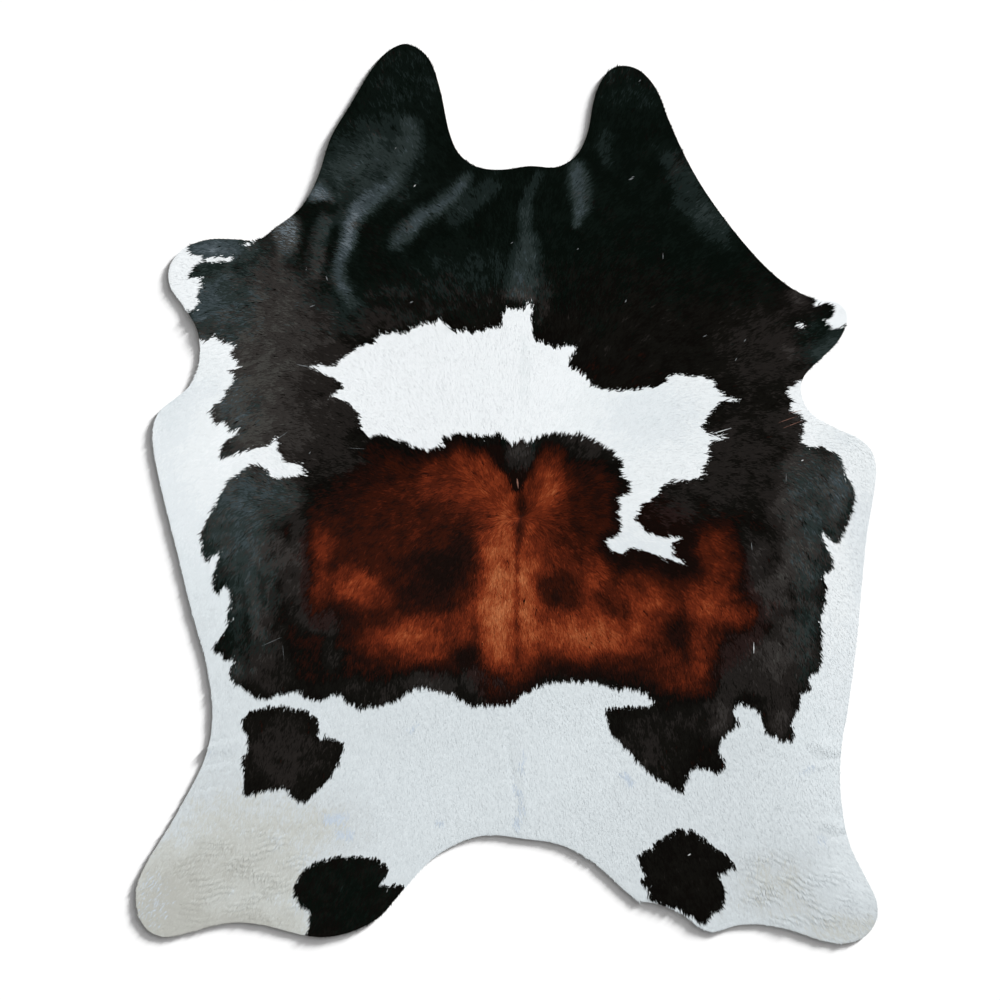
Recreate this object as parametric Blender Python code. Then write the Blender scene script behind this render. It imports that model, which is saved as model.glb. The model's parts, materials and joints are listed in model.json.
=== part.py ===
# Cowhide rug: one whole tanned skin with its short coat left on, laid out with the head end
# towards +Y. The skin lies flat on z = 0 and rises a few millimetres in soft waves, most of
# them across the neck.

import math

import bpy
from mathutils import Vector
from mathutils.geometry import delaunay_2d_cdt

MM = 0.001

# Driving dimensions, in metres.
HIDE_LENGTH = 2.200             # from the neck lobe's tip to the hind legs' ends
LEATHER_THICKNESS = 0.0020
COAT_THICKNESS = 0.0020         # short hair pressed flat on the leather
RIM_STEP = 0.020                # between points along the cut edge
FLAT_STEP = 0.064               # between points on flat ground
WAVE_STEP = 0.016               # between points on a wave
RIM_MARGIN = 0.55               # an inner point keeps this share of its step from the cut edge
WAVE_TAPER = 0.30               # share of a wave's length over which each end dies away

COAT_COLOUR = (0.80, 0.83, 0.85, 1.0)
COAT_ROUGHNESS = 0.55

# The cut edge, clockwise from the tip of the left neck lobe: stretches of points in millimetres
# from the middle of the hide, joined by one smooth closed curve.
RIM_STRETCHES = {
    "left neck lobe": [(-249, 1100), (-212, 1085), (-185, 1053), (-163, 987), (-139, 878)],
    "neck notch": [(-117, 831), (-75, 800), (-17, 792), (57, 801), (123, 799), (169, 826)],
    "right neck lobe": [(196, 878), (213, 963), (233, 1013), (260, 1041), (292, 1046),
                        (326, 1034), (365, 990), (397, 911)],
    "right shoulder": [(443, 811), (502, 713), (571, 623), (644, 544), (705, 497)],
    "right front leg": [(757, 475), (806, 467), (830, 445), (831, 417), (810, 373)],
    "right armpit": [(725, 283), (720, 246), (744, 197), (810, 158)],
    "right flank": [(864, 133), (891, 106), (903, 62), (879, -114), (852, -395), (832, -540)],
    "right thigh": [(818, -623), (817, -738), (837, -853)],
    "right hind leg": [(905, -1002), (902, -1048), (874, -1085), (828, -1100), (771, -1093),
                       (693, -1067)],
    "right hock": [(620, -1054), (566, -1056), (505, -1072), (475, -1063), (438, -1034)],
    "crotch": [(370, -1004), (319, -993), (208, -899), (130, -859), (45, -845), (-46, -836),
               (-115, -853), (-188, -899)],
    "left hock": [(-261, -978), (-313, -1036), (-384, -1073), (-462, -1085)],
    "left hind leg": [(-616, -1052), (-690, -1051), (-841, -1084), (-883, -1063), (-905, -1014),
                      (-900, -946)],
    "left thigh": [(-805, -779), (-736, -640), (-720, -542)],
    "left flank": [(-734, -420), (-768, -297), (-800, -168)],
    "left armpit": [(-866, 136), (-853, 195), (-775, 265), (-752, 324), (-758, 400)],
    "left front leg": [(-795, 464), (-824, 508), (-825, 554), (-790, 599), (-731, 621)],
    "left shoulder": [(-665, 622), (-609, 620), (-570, 647), (-501, 703), (-464, 770),
                      (-430, 872)],
    "left neck": [(-384, 949), (-323, 1048), (-288, 1084)],
}

# Soft waves that lift the skin: height and half width of the crest, and its route, in
# millimetres from the middle of the hide.
WAVES = {
    "left lobe to shoulder": {"height": 8.0, "half_width": 44,
                              "route": [(-222, 955), (-274, 841), (-330, 752), (-385, 655),
                                        (-402, 545), (-378, 430)]},
    "notch to left shoulder": {"height": 6.0, "half_width": 32,
                               "route": [(-84, 806), (-127, 742), (-200, 700), (-252, 646),
                                         (-278, 570)]},
    "beside the notch wave": {"height": 3.0, "half_width": 34,
                              "route": [(-40, 740), (-120, 655), (-196, 596), (-240, 530)]},
    "top of the spine": {"height": 3.5, "half_width": 30,
                         "route": [(66, 800), (52, 718), (38, 571), (32, 455)]},
    "right of the spine": {"height": 5.0, "half_width": 26,
                           "route": [(158, 822), (182, 755), (190, 705), (172, 640), (160, 560)]},
    "right neck": {"height": 4.0, "half_width": 40,
                   "route": [(360, 830), (448, 716), (505, 655), (558, 588)]},
    "left neck edge": {"height": 3.5, "half_width": 26,
                       "route": [(-552, 668), (-530, 600), (-520, 530)]},
    "left shoulder": {"height": 4.0, "half_width": 30,
                      "route": [(-440, 745), (-460, 640), (-478, 540), (-482, 460)]},
    "left thigh": {"height": 2.5, "half_width": 22,
                   "route": [(-745, -628), (-690, -618), (-640, -600)]},
    "right thigh": {"height": 3.0, "half_width": 24,
                    "route": [(830, -632), (780, -618), (730, -600)]},
    "right hock": {"height": 2.5, "half_width": 22,
                   "route": [(842, -822), (790, -808), (750, -800)]},
}


def clear_scene():
    for old in list(bpy.data.objects):
        bpy.data.objects.remove(old, do_unlink=True)


def curve_point(before, start, end, after, share):
    """A point on the centripetal Catmull-Rom curve between start and end."""
    knots = [0.0]
    for a, b in ((before, start), (start, end), (end, after)):
        knots.append(knots[-1] + math.sqrt((b - a).length))
    t0, t1, t2, t3 = knots
    t = t1 + (t2 - t1) * share

    def mix(a, b, ta, tb):
        return a * ((tb - t) / (tb - ta)) + b * ((t - ta) / (tb - ta))

    first, middle, last = mix(before, start, t0, t1), mix(start, end, t1, t2), mix(end, after, t2, t3)
    return mix(mix(first, middle, t0, t2), mix(middle, last, t1, t3), t1, t2)


def smooth_path(points, step, closed):
    """Points at about an even step along one smooth curve through the given points."""
    if closed:
        ring = [points[-1]] + points + points[:2]
    else:
        ring = [points[0] * 2 - points[1]] + points + [points[-1] * 2 - points[-2]]
    path = []
    for i in range(1, len(ring) - 2):
        pieces = max(1, round((ring[i + 1] - ring[i]).length / step))
        for k in range(pieces):
            path.append(curve_point(*ring[i - 1:i + 3], k / pieces))
    if not closed:
        path.append(points[-1])
    return path


def in_metres(points):
    return [Vector(p) * MM for p in points]


def rim_path():
    """The cut edge, sized to the hide's length and centred on the origin."""
    points = in_metres([p for stretch in RIM_STRETCHES.values() for p in stretch])
    path = smooth_path(points, RIM_STEP, closed=True)
    low = Vector((min(p.x for p in path), min(p.y for p in path)))
    high = Vector((max(p.x for p in path), max(p.y for p in path)))
    size = HIDE_LENGTH / (high.y - low.y)
    return [(p - (low + high) / 2) * size for p in path]


def wave_routes():
    """Each wave's crest line with its height, its half width and how far along each point is."""
    routes = []
    for wave in WAVES.values():
        line = smooth_path(in_metres(wave["route"]), WAVE_STEP / 2, closed=False)
        along = [0.0]
        for a, b in zip(line, line[1:]):
            along.append(along[-1] + (b - a).length)
        shares = [length / along[-1] for length in along]
        routes.append((line, shares, wave["height"] * MM, wave["half_width"] * MM))
    return routes


def ease(share):
    share = min(max(share, 0.0), 1.0)
    return share * share * (3 - 2 * share)


def lift(point, routes):
    """Height of the skin's underside above the floor: 0 wherever no wave passes."""
    height = 0.0
    for line, shares, crest, half_width in routes:
        distance, share = min(((point - p).length, s) for p, s in zip(line, shares))
        if distance < half_width:
            ends = ease(share / WAVE_TAPER) * ease((1 - share) / WAVE_TAPER)
            height = max(height, crest * ends * (1 - (distance / half_width) ** 2) ** 2)
    return height


def distance_to(point, path):
    return min((point - p).length for p in path)


def inside(point, path):
    """Even-odd test against the closed path."""
    crossings = 0
    for a, b in zip(path, path[1:] + path[:1]):
        if (a.y > point.y) != (b.y > point.y):
            if point.x < a.x + (b.x - a.x) * (point.y - a.y) / (b.y - a.y):
                crossings += 1
    return crossings % 2 == 1


def ground_points(rim, routes):
    """Staggered rows of inner points: close together on the waves, wide apart elsewhere."""
    points = []
    coarse = round(FLAT_STEP / WAVE_STEP)
    row_step = WAVE_STEP * math.sqrt(3) / 2
    half_length, half_width = HIDE_LENGTH / 2, max(abs(p.x) for p in rim)
    rows, columns = int(half_length / row_step), int(half_width / WAVE_STEP)
    for row in range(-rows, rows + 1):
        for column in range(-columns, columns + 1):
            stagger = 0.5 * WAVE_STEP * (row % 2)
            point = Vector((column * WAVE_STEP + stagger, row * row_step))
            on_coarse = row % coarse == 0 and column % coarse == 0
            near_wave = any(distance_to(point, line) < width for line, _, _, width in routes)
            if not (near_wave or on_coarse):
                continue
            margin = RIM_MARGIN * (WAVE_STEP if near_wave else RIM_STEP)
            if inside(point, rim) and distance_to(point, rim) > margin:
                points.append(point)
    return points


def hide_material():
    material = bpy.data.materials.new("hair_on_hide")
    material.use_nodes = True
    shader = material.node_tree.nodes["Principled BSDF"]
    shader.inputs["Base Color"].default_value = COAT_COLOUR
    shader.inputs["Roughness"].default_value = COAT_ROUGHNESS
    shader.inputs["Metallic"].default_value = 0.0
    return material


def build_hide():
    """The skin's underside as one waved surface, thickened upwards by the leather and the coat."""
    rim = rim_path()
    routes = wave_routes()
    flat = rim + ground_points(rim, routes)
    points, _, faces, *_ = delaunay_2d_cdt(flat, [], [list(range(len(rim)))], 1, 1e-6)

    mesh = bpy.data.meshes.new("hide")
    mesh.from_pydata([(p.x, p.y, lift(p, routes)) for p in points], [], faces)
    mesh.validate()
    hide = bpy.data.objects.new("hide", mesh)
    bpy.context.collection.objects.link(hide)
    mesh.materials.append(hide_material())

    thickness = hide.modifiers.new("Thickness", "SOLIDIFY")
    thickness.thickness = LEATHER_THICKNESS + COAT_THICKNESS
    thickness.offset = 1.0
    thickness.use_even_offset = False
    return hide


clear_scene()
build_hide()
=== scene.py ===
import json
import math
from functools import partial

import bmesh
import bpy
import numpy as np
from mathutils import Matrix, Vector, noise
from mathutils.bvhtree import BVHTree
from mathutils.geometry import delaunay_2d_cdt
from mathutils.kdtree import KDTree

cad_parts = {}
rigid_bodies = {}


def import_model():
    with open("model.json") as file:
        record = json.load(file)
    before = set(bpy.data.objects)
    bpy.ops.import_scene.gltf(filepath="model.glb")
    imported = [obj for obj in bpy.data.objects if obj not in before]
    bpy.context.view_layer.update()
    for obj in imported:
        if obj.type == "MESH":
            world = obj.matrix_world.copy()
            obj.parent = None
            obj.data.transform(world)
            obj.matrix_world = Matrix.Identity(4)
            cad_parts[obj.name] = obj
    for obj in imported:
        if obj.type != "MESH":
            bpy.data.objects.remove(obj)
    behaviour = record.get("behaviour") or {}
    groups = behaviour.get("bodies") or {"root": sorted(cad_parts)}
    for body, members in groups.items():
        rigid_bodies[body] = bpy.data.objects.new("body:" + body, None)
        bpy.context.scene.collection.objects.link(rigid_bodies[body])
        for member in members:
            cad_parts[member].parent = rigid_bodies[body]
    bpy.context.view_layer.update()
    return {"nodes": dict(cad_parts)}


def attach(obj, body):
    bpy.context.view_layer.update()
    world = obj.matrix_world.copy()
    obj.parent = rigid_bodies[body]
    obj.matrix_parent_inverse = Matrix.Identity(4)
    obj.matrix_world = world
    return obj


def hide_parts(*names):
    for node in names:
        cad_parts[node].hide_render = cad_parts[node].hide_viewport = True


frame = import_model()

# A cowhide rug laid flat, head end towards +Y. The leather is one thin closed skin that follows
# the hide node, and the coat is many short locks of hair in some thirty shades, laid along
# the direction the hair grows. All tables are in millimetres from the middle of the hide.

mm = 0.001
cadNode = frame["nodes"]["hide"]


# lines, loops and distances

def pathThrough(points, step, closed=False):
    # centripetal curve through the points; a third column, such as a width, goes along
    pts = np.asarray(points, float)
    if closed:
        ring = np.vstack([pts[-1:], pts, pts[:2]])
    else:
        ring = np.vstack([2 * pts[:1] - pts[1:2], pts, 2 * pts[-1:] - pts[-2:-1]])
    path = []
    for four in zip(ring, ring[1:], ring[2:], ring[3:]):
        gaps = [math.sqrt(np.hypot(*(q - p)[:2])) for p, q in zip(four, four[1:])]
        t0, t1, t2, t3 = np.cumsum([0.0] + gaps)
        count = max(1, round(gaps[1] ** 2 / step))
        for t in np.linspace(t1, t2, count, endpoint=False):
            a = four[0] + (four[1] - four[0]) * (t - t0) / (t1 - t0)
            b = four[1] + (four[2] - four[1]) * (t - t1) / (t2 - t1)
            c = four[2] + (four[3] - four[2]) * (t - t2) / (t3 - t2)
            d = a + (b - a) * (t - t0) / (t2 - t0)
            e = b + (c - b) * (t - t1) / (t3 - t1)
            path.append(d + (e - d) * (t - t1) / (t2 - t1))
    if not closed:
        path.append(pts[-1])
    return np.array(path)


def insideLoop(xy, loop):
    crossings = np.zeros(len(xy), int)
    for a, b in zip(loop, np.roll(loop, -1, axis=0)):
        spans = (a[1] > xy[:, 1]) != (b[1] > xy[:, 1])
        if spans.any():
            reach = a[0] + (b[0] - a[0]) * (xy[:, 1] - a[1]) / (b[1] - a[1])
            crossings += spans & (xy[:, 0] < reach)
    return crossings % 2 == 1


def signedDistance(xy, loop):
    # positive inside the loop, whose points lie close together
    tree = KDTree(len(loop))
    for i, p in enumerate(loop):
        tree.insert((p[0], p[1], 0.0), i)
    tree.balance()
    distance = np.array([tree.find((x, y, 0.0))[2] for x, y in xy])
    return np.where(insideLoop(xy, loop), distance, -distance)


def besideRoute(xy, route, reach):
    # for the points within reach of the route: which they are, distance, share along, and what
    # the route's columns past x and y come to there
    low, high = route[:, :2].min(axis=0) - reach, route[:, :2].max(axis=0) + reach
    near = np.nonzero(((xy > low) & (xy < high)).all(axis=1))[0]
    points = xy[near]
    lengths = np.hypot(*(route[1:, :2] - route[:-1, :2]).T)
    along = np.concatenate([[0.0], np.cumsum(lengths)])
    best = np.full(len(near), 1e9)
    share, others = np.zeros(len(near)), np.zeros((len(near), route.shape[1] - 2))
    for i, (a, b) in enumerate(zip(route, route[1:])):
        ab = (b - a)[:2]
        t = np.clip(((points - a[:2]) @ ab) / (ab @ ab), 0, 1)
        d = np.hypot(*(points - a[:2] - t[:, None] * ab).T)
        closer = d < best
        best[closer] = d[closer]
        share[closer] = ((along[i] + t * lengths[i]) / along[-1])[closer]
        others[closer] = (a[2:] + t[:, None] * (b[2:] - a[2:]))[closer]
    return near, best, share, others


def ease(value, start, end):
    t = np.clip((value - start) / (end - start), 0, 1)
    return t * t * (3 - 2 * t)


# the leather: outline and height read from the hide node

leather = {
    "thickness": 2.2,
    "coat": 2.0,             # what the hide node has above the leather
    "rimStep": 5.5,
    "topStep": 6.8,
    "creasedStep": 4.3,      # in the finely creased legs
    "underStep": 18.0,
    "topMargin": 3.2,        # inner points keep this far from the cut edge
    "underMargin": 7.0,
    "blur": 9.0,             # rounds the node's facets off the waves
    "sharpFrom": 50.0,       # degrees between faces
}
nodeRise = leather["thickness"] + leather["coat"]


def cutEdge(node):
    bm = bmesh.new()
    bm.from_mesh(node.data)
    bmesh.ops.remove_doubles(bm, verts=bm.verts, dist=0.00002)
    bm.normal_update()
    top = {f for f in bm.faces if f.normal.z > 0.3}
    follows = {}
    for face in top:
        for loop in face.loops:
            others = [f for f in loop.edge.link_faces if f is not face]
            if not any(f in top for f in others):
                follows[loop.vert.index] = loop.link_loop_next.vert.index
    start = min(follows)
    ring, here = [start], follows[start]
    while here != start:
        ring.append(here)
        here = follows[here]
    bm.verts.ensure_lookup_table()
    edge = np.array([bm.verts[i].co[:2] for i in ring]) / mm
    bm.free()
    return edge                 # counterclockwise, as the top faces are


def heightReader(node, blur):
    vertices = [v.co.copy() for v in node.data.vertices]
    tree = BVHTree.FromPolygons(vertices, [tuple(p.vertices) for p in node.data.polygons])
    offsets = [(0, 0)] + [(blur * math.cos(k * math.pi / 3), blur * math.sin(k * math.pi / 3))
                          for k in range(6)]

    def topAt(xy):
        total, hits = np.zeros(len(xy)), np.zeros(len(xy))
        for dx, dy in offsets:
            for i, (x, y) in enumerate(xy):
                hit = tree.ray_cast(Vector(((x + dx) * mm, (y + dy) * mm, 1)), Vector((0, 0, -1)))[0]
                if hit:
                    total[i] += hit.z
                    hits[i] += 1
        total[hits == 0] = nodeRise * mm
        return total / np.maximum(hits, 1) / mm
    return topAt


rim = pathThrough(cutEdge(cadNode), leather["rimStep"], closed=True)
topOfNode = heightReader(cadNode, leather["blur"])
print("cut edge read,", len(rim), "points")


def raisedAt(xy):
    # how far the waves lift the skin off the floor
    return np.maximum(topOfNode(xy) - nodeRise, 0.0)


# the lay of the hair: which way the tips point, degrees from +X

lay = {
    "spine above the whorl": (25, 130, 90),
    "withers": (30, 450, 90),
    "neck middle": (30, 720, 90),
    "left neck lobe": (-260, 985, 110),
    "left neck": (-385, 745, 160),
    "neck left of the middle": (-190, 695, 145),
    "left shoulder": (-505, 570, 160),
    "left front leg": (-725, 520, -175),
    "left armpit": (-675, 255, -150),
    "left flank top": (-670, 110, -140),
    "left flank gap": (-580, 60, 150),
    "left flank": (-725, -115, -120),
    "left flank low": (-690, -360, -110),
    "left ribs": (-505, -165, -125),
    "left belly": (-630, -505, -100),
    "left of the whorl": (-165, -15, -150),
    "left back": (-260, -260, -120),
    "left of the spine": (-15, -260, -100),
    "right of the spine": (70, -260, -80),
    "right back": (275, -260, -60),
    "above the right lobe": (230, 135, 35),
    "right lobe": (295, 10, -5),
    "right lobe low": (275, -115, -30),
    "shoulder white right": (510, 180, 0),
    "right shoulder": (570, 425, 30),
    "right front leg": (740, 450, 20),
    "right armpit": (715, 205, -5),
    "right flank": (835, -15, -55),
    "right flank low": (780, -260, -70),
    "right belly": (695, -555, -85),
    "rump right": (350, -480, -85),
    "rump left": (-260, -480, -95),
    "left spot": (-530, -725, -110),
    "left hind leg": (-385, -945, -115),
    "right rear lobe": (425, -700, -80),
    "right hind leg": (475, -920, -70),
    "shoulder white left top": (-165, 410, 120),
    "shoulder white tip": (-445, 310, 160),
    "shoulder white bottom": (-210, 125, 130),
    "left of the whorl top": (-65, 120, 115),
    "right of the whorl top": (130, 130, 70),
    "right neck lobe": (300, 985, 70),
    "right neck": (450, 670, 35),
    "neck right of the middle": (205, 695, 40),
    "left edge": (-850, 155, -125),
    "left hind tip": (-875, -1020, -125),
    "right hind tip": (875, -1020, -55),
    "right edge": (915, 35, -60),
    "tail": (20, -725, -90),
}
layRounding = 45.0
layFall = 1.6             # how fast a row of the table loses its say with distance


def layAt(xy):
    total = np.zeros((len(xy), 2))
    for x, y, angle in lay.values():
        square = (xy[:, 0] - x) ** 2 + (xy[:, 1] - y) ** 2
        weight = (square + layRounding ** 2) ** -layFall
        total += weight[:, None] * (math.cos(math.radians(angle)), math.sin(math.radians(angle)))
    return total / np.maximum(np.hypot(*total.T), 1e-9)[:, None]


# the coat's patches

patches = {
    "main": {
        "left front leg": [
            (-790, 606), (-770, 588), (-751, 581), (-736, 573), (-716, 576), (-675, 575),
            (-697, 565), (-738, 566), (-760, 558), (-773, 542), (-779, 527), (-752, 524),
            (-746, 510), (-753, 495), (-763, 489), (-757, 476), (-760, 456), (-778, 445)],
        "left shoulder": [
            (-835, 435), (-805, 365), (-751, 378), (-731, 374), (-716, 384), (-697, 372),
            (-663, 360), (-672, 349), (-668, 332), (-655, 310), (-674, 305), (-668, 290),
            (-675, 265), (-699, 229), (-726, 206), (-721, 196), (-710, 169), (-692, 171),
            (-677, 155), (-658, 152), (-687, 128), (-696, 116), (-699, 86), (-680, 87),
            (-655, 100), (-599, 113), (-579, 119), (-564, 133), (-555, 97), (-548, 80),
            (-518, 72), (-496, 70), (-499, 60), (-489, 46), (-511, 43), (-560, 39), (-579, 49),
            (-592, 61), (-616, 70), (-641, 61), (-660, 46), (-680, 32)],
        "left flank": [
            (-695, 7), (-710, -22), (-725, -49), (-739, -74), (-748, -103), (-747, -130),
            (-739, -161), (-727, -165), (-704, -140), (-709, -172), (-717, -203), (-717, -230),
            (-707, -247), (-683, -225), (-679, -257), (-679, -282), (-687, -306), (-679, -311),
            (-701, -350), (-718, -384), (-697, -394), (-697, -408), (-669, -410), (-680, -438),
            (-667, -463), (-640, -477), (-614, -498), (-594, -504), (-565, -497), (-530, -483),
            (-506, -486), (-489, -502), (-457, -503), (-408, -493), (-391, -510), (-369, -521)],
        "rump": [
            (-349, -525), (-325, -520), (-276, -507), (-252, -493), (-225, -480), (-200, -476),
            (-178, -481), (-154, -486), (-129, -498), (-107, -510), (-85, -521), (-41, -520),
            (-4, -518), (20, -510), (37, -494), (62, -481), (89, -469), (113, -462), (160, -460),
            (204, -460), (230, -466), (260, -476), (299, -480), (319, -481), (341, -495),
            (358, -510)],
        "right rear lobe": [
            (338, -521), (289, -522), (246, -526), (246, -561), (259, -590), (300, -633),
            (338, -674), (379, -706), (411, -721), (431, -732), (438, -710), (453, -674),
            (486, -678), (524, -682), (535, -661), (520, -632), (522, -614), (531, -594),
            (545, -583), (568, -557), (556, -541), (561, -520), (595, -524), (615, -533),
            (635, -583), (657, -600), (682, -607), (702, -596), (699, -563), (711, -531)],
        "right flank": [
            (720, -505), (726, -487), (746, -478), (740, -459), (746, -443), (763, -432),
            (770, -395), (771, -354), (768, -312), (779, -261), (784, -236), (775, -201),
            (797, -188), (793, -153), (768, -98), (803, -124), (815, -115), (827, -87),
            (842, -55), (850, 1), (836, 35), (822, 65), (814, 87), (797, 103), (770, 113),
            (741, 117), (718, 136), (728, 155), (722, 163), (732, 177), (714, 195), (694, 203),
            (698, 224), (691, 235), (683, 247), (696, 263), (721, 273)],
        "past the right armpit": [(765, 250), (915, 350), (830, 415)],
        "right front leg": [
            (815, 405), (796, 405), (787, 418), (774, 421), (791, 429), (798, 445), (793, 460),
            (776, 465), (753, 461), (757, 476)],
        "past the neck": [
            (890, 560), (670, 985), (325, 1185), (-260, 1210), (-700, 985), (-900, 670)],
    },
    "left spot": {"around": [
        (-647, -554), (-626, -535), (-598, -524), (-565, -520), (-527, -524), (-489, -535),
        (-468, -548), (-457, -566), (-458, -597), (-442, -595), (-416, -601), (-399, -618),
        (-406, -650), (-420, -678), (-441, -707), (-476, -737), (-497, -752), (-518, -750),
        (-538, -725), (-557, -723), (-595, -730), (-633, -741), (-646, -731), (-644, -706),
        (-648, -678), (-646, -649), (-635, -628), (-637, -603)]},
    "left hind leg": {"around": [
        (-507, -1005), (-521, -979), (-523, -960), (-514, -943), (-503, -927), (-484, -913),
        (-461, -899), (-436, -893), (-411, -888), (-378, -887), (-319, -895), (-299, -907),
        (-287, -920), (-295, -937), (-308, -951), (-296, -959), (-256, -959), (-248, -980),
        (-307, -1072), (-407, -1122), (-495, -1103), (-482, -1046), (-488, -1022)]},
    "right hind leg": {"around": [
        (323, -892), (351, -863), (365, -848), (382, -844), (402, -826), (424, -821),
        (441, -828), (457, -825), (476, -837), (500, -858), (527, -875), (543, -889),
        (558, -911), (534, -925), (518, -937), (527, -949), (535, -980), (531, -1005),
        (515, -1021), (501, -1035), (486, -1049), (463, -1041), (434, -1028), (403, -1016),
        (368, -1005), (347, -989), (343, -967), (330, -952), (336, -934), (328, -918)]},
}
whitePatches = {
    "shoulders": {
        "top": [
            (-477, 310), (-457, 314), (-415, 317), (-403, 328), (-379, 346), (-362, 357),
            (-335, 365), (-318, 374), (-310, 390), (-281, 393), (-249, 392), (-230, 403),
            (-205, 412), (-181, 416), (-163, 425), (-146, 410), (-129, 398), (-90, 395),
            (-58, 398), (-34, 406), (-15, 412), (-9, 434), (0, 451), (15, 453), (42, 455),
            (58, 470), (60, 420), (64, 388), (74, 372), (93, 365), (113, 358), (135, 360),
            (157, 361), (167, 351), (151, 318), (169, 301), (189, 288), (213, 265), (230, 256),
            (301, 251), (338, 257), (365, 259), (387, 270), (397, 284), (409, 291), (434, 289),
            (473, 284), (495, 281), (507, 265), (519, 247), (563, 229)],
        "right": [
            (527, 224), (512, 217), (497, 192), (480, 164), (492, 149), (529, 137), (507, 128),
            (494, 117), (495, 99), (490, 75), (475, 62), (483, 49), (458, 38), (434, 32),
            (397, 29), (375, 12), (365, -6), (350, -17), (328, -27), (317, -49), (317, -67),
            (328, -82), (350, -97), (372, -105), (424, -109), (407, -122), (408, -146),
            (434, -170), (394, -158), (365, -148), (338, -141), (309, -133)],
        "bottom": [
            (297, -135), (279, -147), (257, -139), (243, -119), (256, -109), (275, -91),
            (282, -77), (271, -48), (279, -28), (273, -16), (283, -5), (305, 12), (294, 39),
            (282, 55), (287, 71), (265, 95), (240, 116), (208, 133), (174, 144), (135, 147),
            (106, 144), (81, 137), (62, 131), (47, 122), (36, 135), (15, 120), (-4, 135),
            (-22, 143), (-70, 142), (-110, 147), (-149, 137), (-161, 128), (-155, 117),
            (-183, 111), (-212, 111), (-249, 124), (-286, 138), (-313, 144), (-335, 138),
            (-348, 148), (-358, 180), (-371, 204), (-391, 226), (-425, 239), (-406, 252),
            (-407, 269), (-420, 281), (-455, 296)],
    },
    "left front leg sliver": {"around": [(-648, 606), (-630, 611), (-612, 616), (-628, 608)]},
    "right front leg fleck": {"around": [(707, 411), (717, 413), (727, 411), (717, 409)]},
}
patchStep = 2.5


def patchLoops(table):
    loops = []
    for stretches in table.values():
        points = [p for stretch in stretches.values() for p in stretch]
        loops.append(pathThrough(points, patchStep, closed=True))
    return loops


darkLoops = patchLoops(patches)
whiteLoops = patchLoops(whitePatches)


def coatAt(xy):
    # how far inside the dark coat, negative in the white
    depth = signedDistance(xy, darkLoops[0])
    for loop in whiteLoops:
        depth = np.minimum(depth, -signedDistance(xy, loop))
    for loop in darkLoops[1:]:
        depth = np.maximum(depth, signedDistance(xy, loop))
    return depth


# tones: brown and grey in the dark coat, with painted sheen on the neck; dullness in the white, with
# painted shade towards the tail

# each row: middle x, y, half sizes, turn in degrees, tone reached there and, in some, how sharp
# the edge is; a tone below 0 takes that share of the others away
brownTones = {
    "under the white left": (-300, 100, 115, 20, 0, 0.12),
    "body": (20, -190, 520, 265, 0, 0.26),
    "right base": (375, -310, 270, 145, 0, 0.26),
    "under the left white": (-310, 45, 145, 40, 0, 0.16),
    "upper left": (-110, 40, 140, 70, 6, 0.40),
    "upper left crown": (-90, 75, 65, 25, 8, 0.42),
    "upper left inner": (-55, 15, 75, 70, 0, 0.50),
    "upper left outer": (-210, 5, 80, 50, 5, 0.25),
    "upper left far": (-310, -10, 60, 40, 0, 0.22),
    "left middle": (-260, -100, 185, 85, 0, 0.17),
    "left streaks": (-460, -225, 35, 85, 0, 0.46),
    "left end": (-455, -125, 35, 50, 0, 0.52),
    "left lower": (-365, -225, 70, 50, -12, 0.58),
    "left arm": (-300, -240, 40, 30, 0, 0.36),
    "lower left": (-225, -350, 115, 60, 3, 0.58),
    "lower left core": (-240, -350, 80, 30, 0, 0.40),
    "lower left top": (-170, -300, 70, 25, 0, 0.46),
    "beside the spine": (-85, -305, 40, 70, 0, 0.52),
    "spine": (-25, -240, 50, 215, -2, 0.78),
    "spine core": (-25, -260, 30, 150, -2, 0.62),
    "spine middle": (25, -200, 35, 260, 0, 0.68),
    "spine top": (-10, -55, 25, 70, 0, 0.50),
    "spine foot": (-20, -400, 45, 50, 0, 0.56),
    "right of the spine": (55, -255, 30, 155, 0, 0.70),
    "upper right": (105, 5, 50, 90, 0, 0.58),
    "upper right core": (110, 15, 30, 50, 0, 0.38),
    "upper right tip": (115, 60, 25, 25, 0, 0.26),
    "right inner": (65, -65, 25, 90, 0, 0.42),
    "right under": (105, -155, 60, 55, 0, 0.40),
    "right middle": (210, -200, 50, 65, 0, 0.52),
    "right far": (330, -265, 80, 55, 0, 0.54),
    "lower right": (190, -340, 170, 70, 0, 0.71),
    "lower right core": (195, -360, 110, 35, 0, 0.40),
    "right column": (505, -170, 65, 95, 0, 0.36, 2.2),
    "right end": (490, -275, 60, 65, 0, 0.58),
    "right end low": (565, -295, 45, 30, 0, 0.42),
    "right stairs": (570, -280, 50, 55, 0, 0.38, 2.5),
    "right foot": (430, -440, 80, 45, 0, 0.36),
    "right foot link": (480, -385, 40, 55, 0, 0.46),
    "left blotch": (-165, -195, 75, 70, 8, -0.88),
    "left blotch tail": (-255, -235, 40, 25, -10, -0.25),
    "left blotch neck": (-110, -135, 35, 40, 0, -0.60),
    "left gap": (-80, -340, 10, 65, 0, -0.28),
    "foot blotch": (-90, -400, 40, 30, 0, -0.70),
    "right blotch": (120, -255, 30, 35, 0, -0.38),
    "right gap": (275, -280, 30, 40, 0, -0.34),
    "right spot": (410, -340, 40, 30, 0, -0.72),
    "under the white": (350, -165, 100, 25, 0, -0.30),
    "upper stair": (575, -255, 30, 7, 0, -0.50),
    "lower stair": (590, -230, 30, 7, 0, -0.50),
    "right dark box": (635, -330, 25, 20, 0, -0.90),
}
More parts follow.
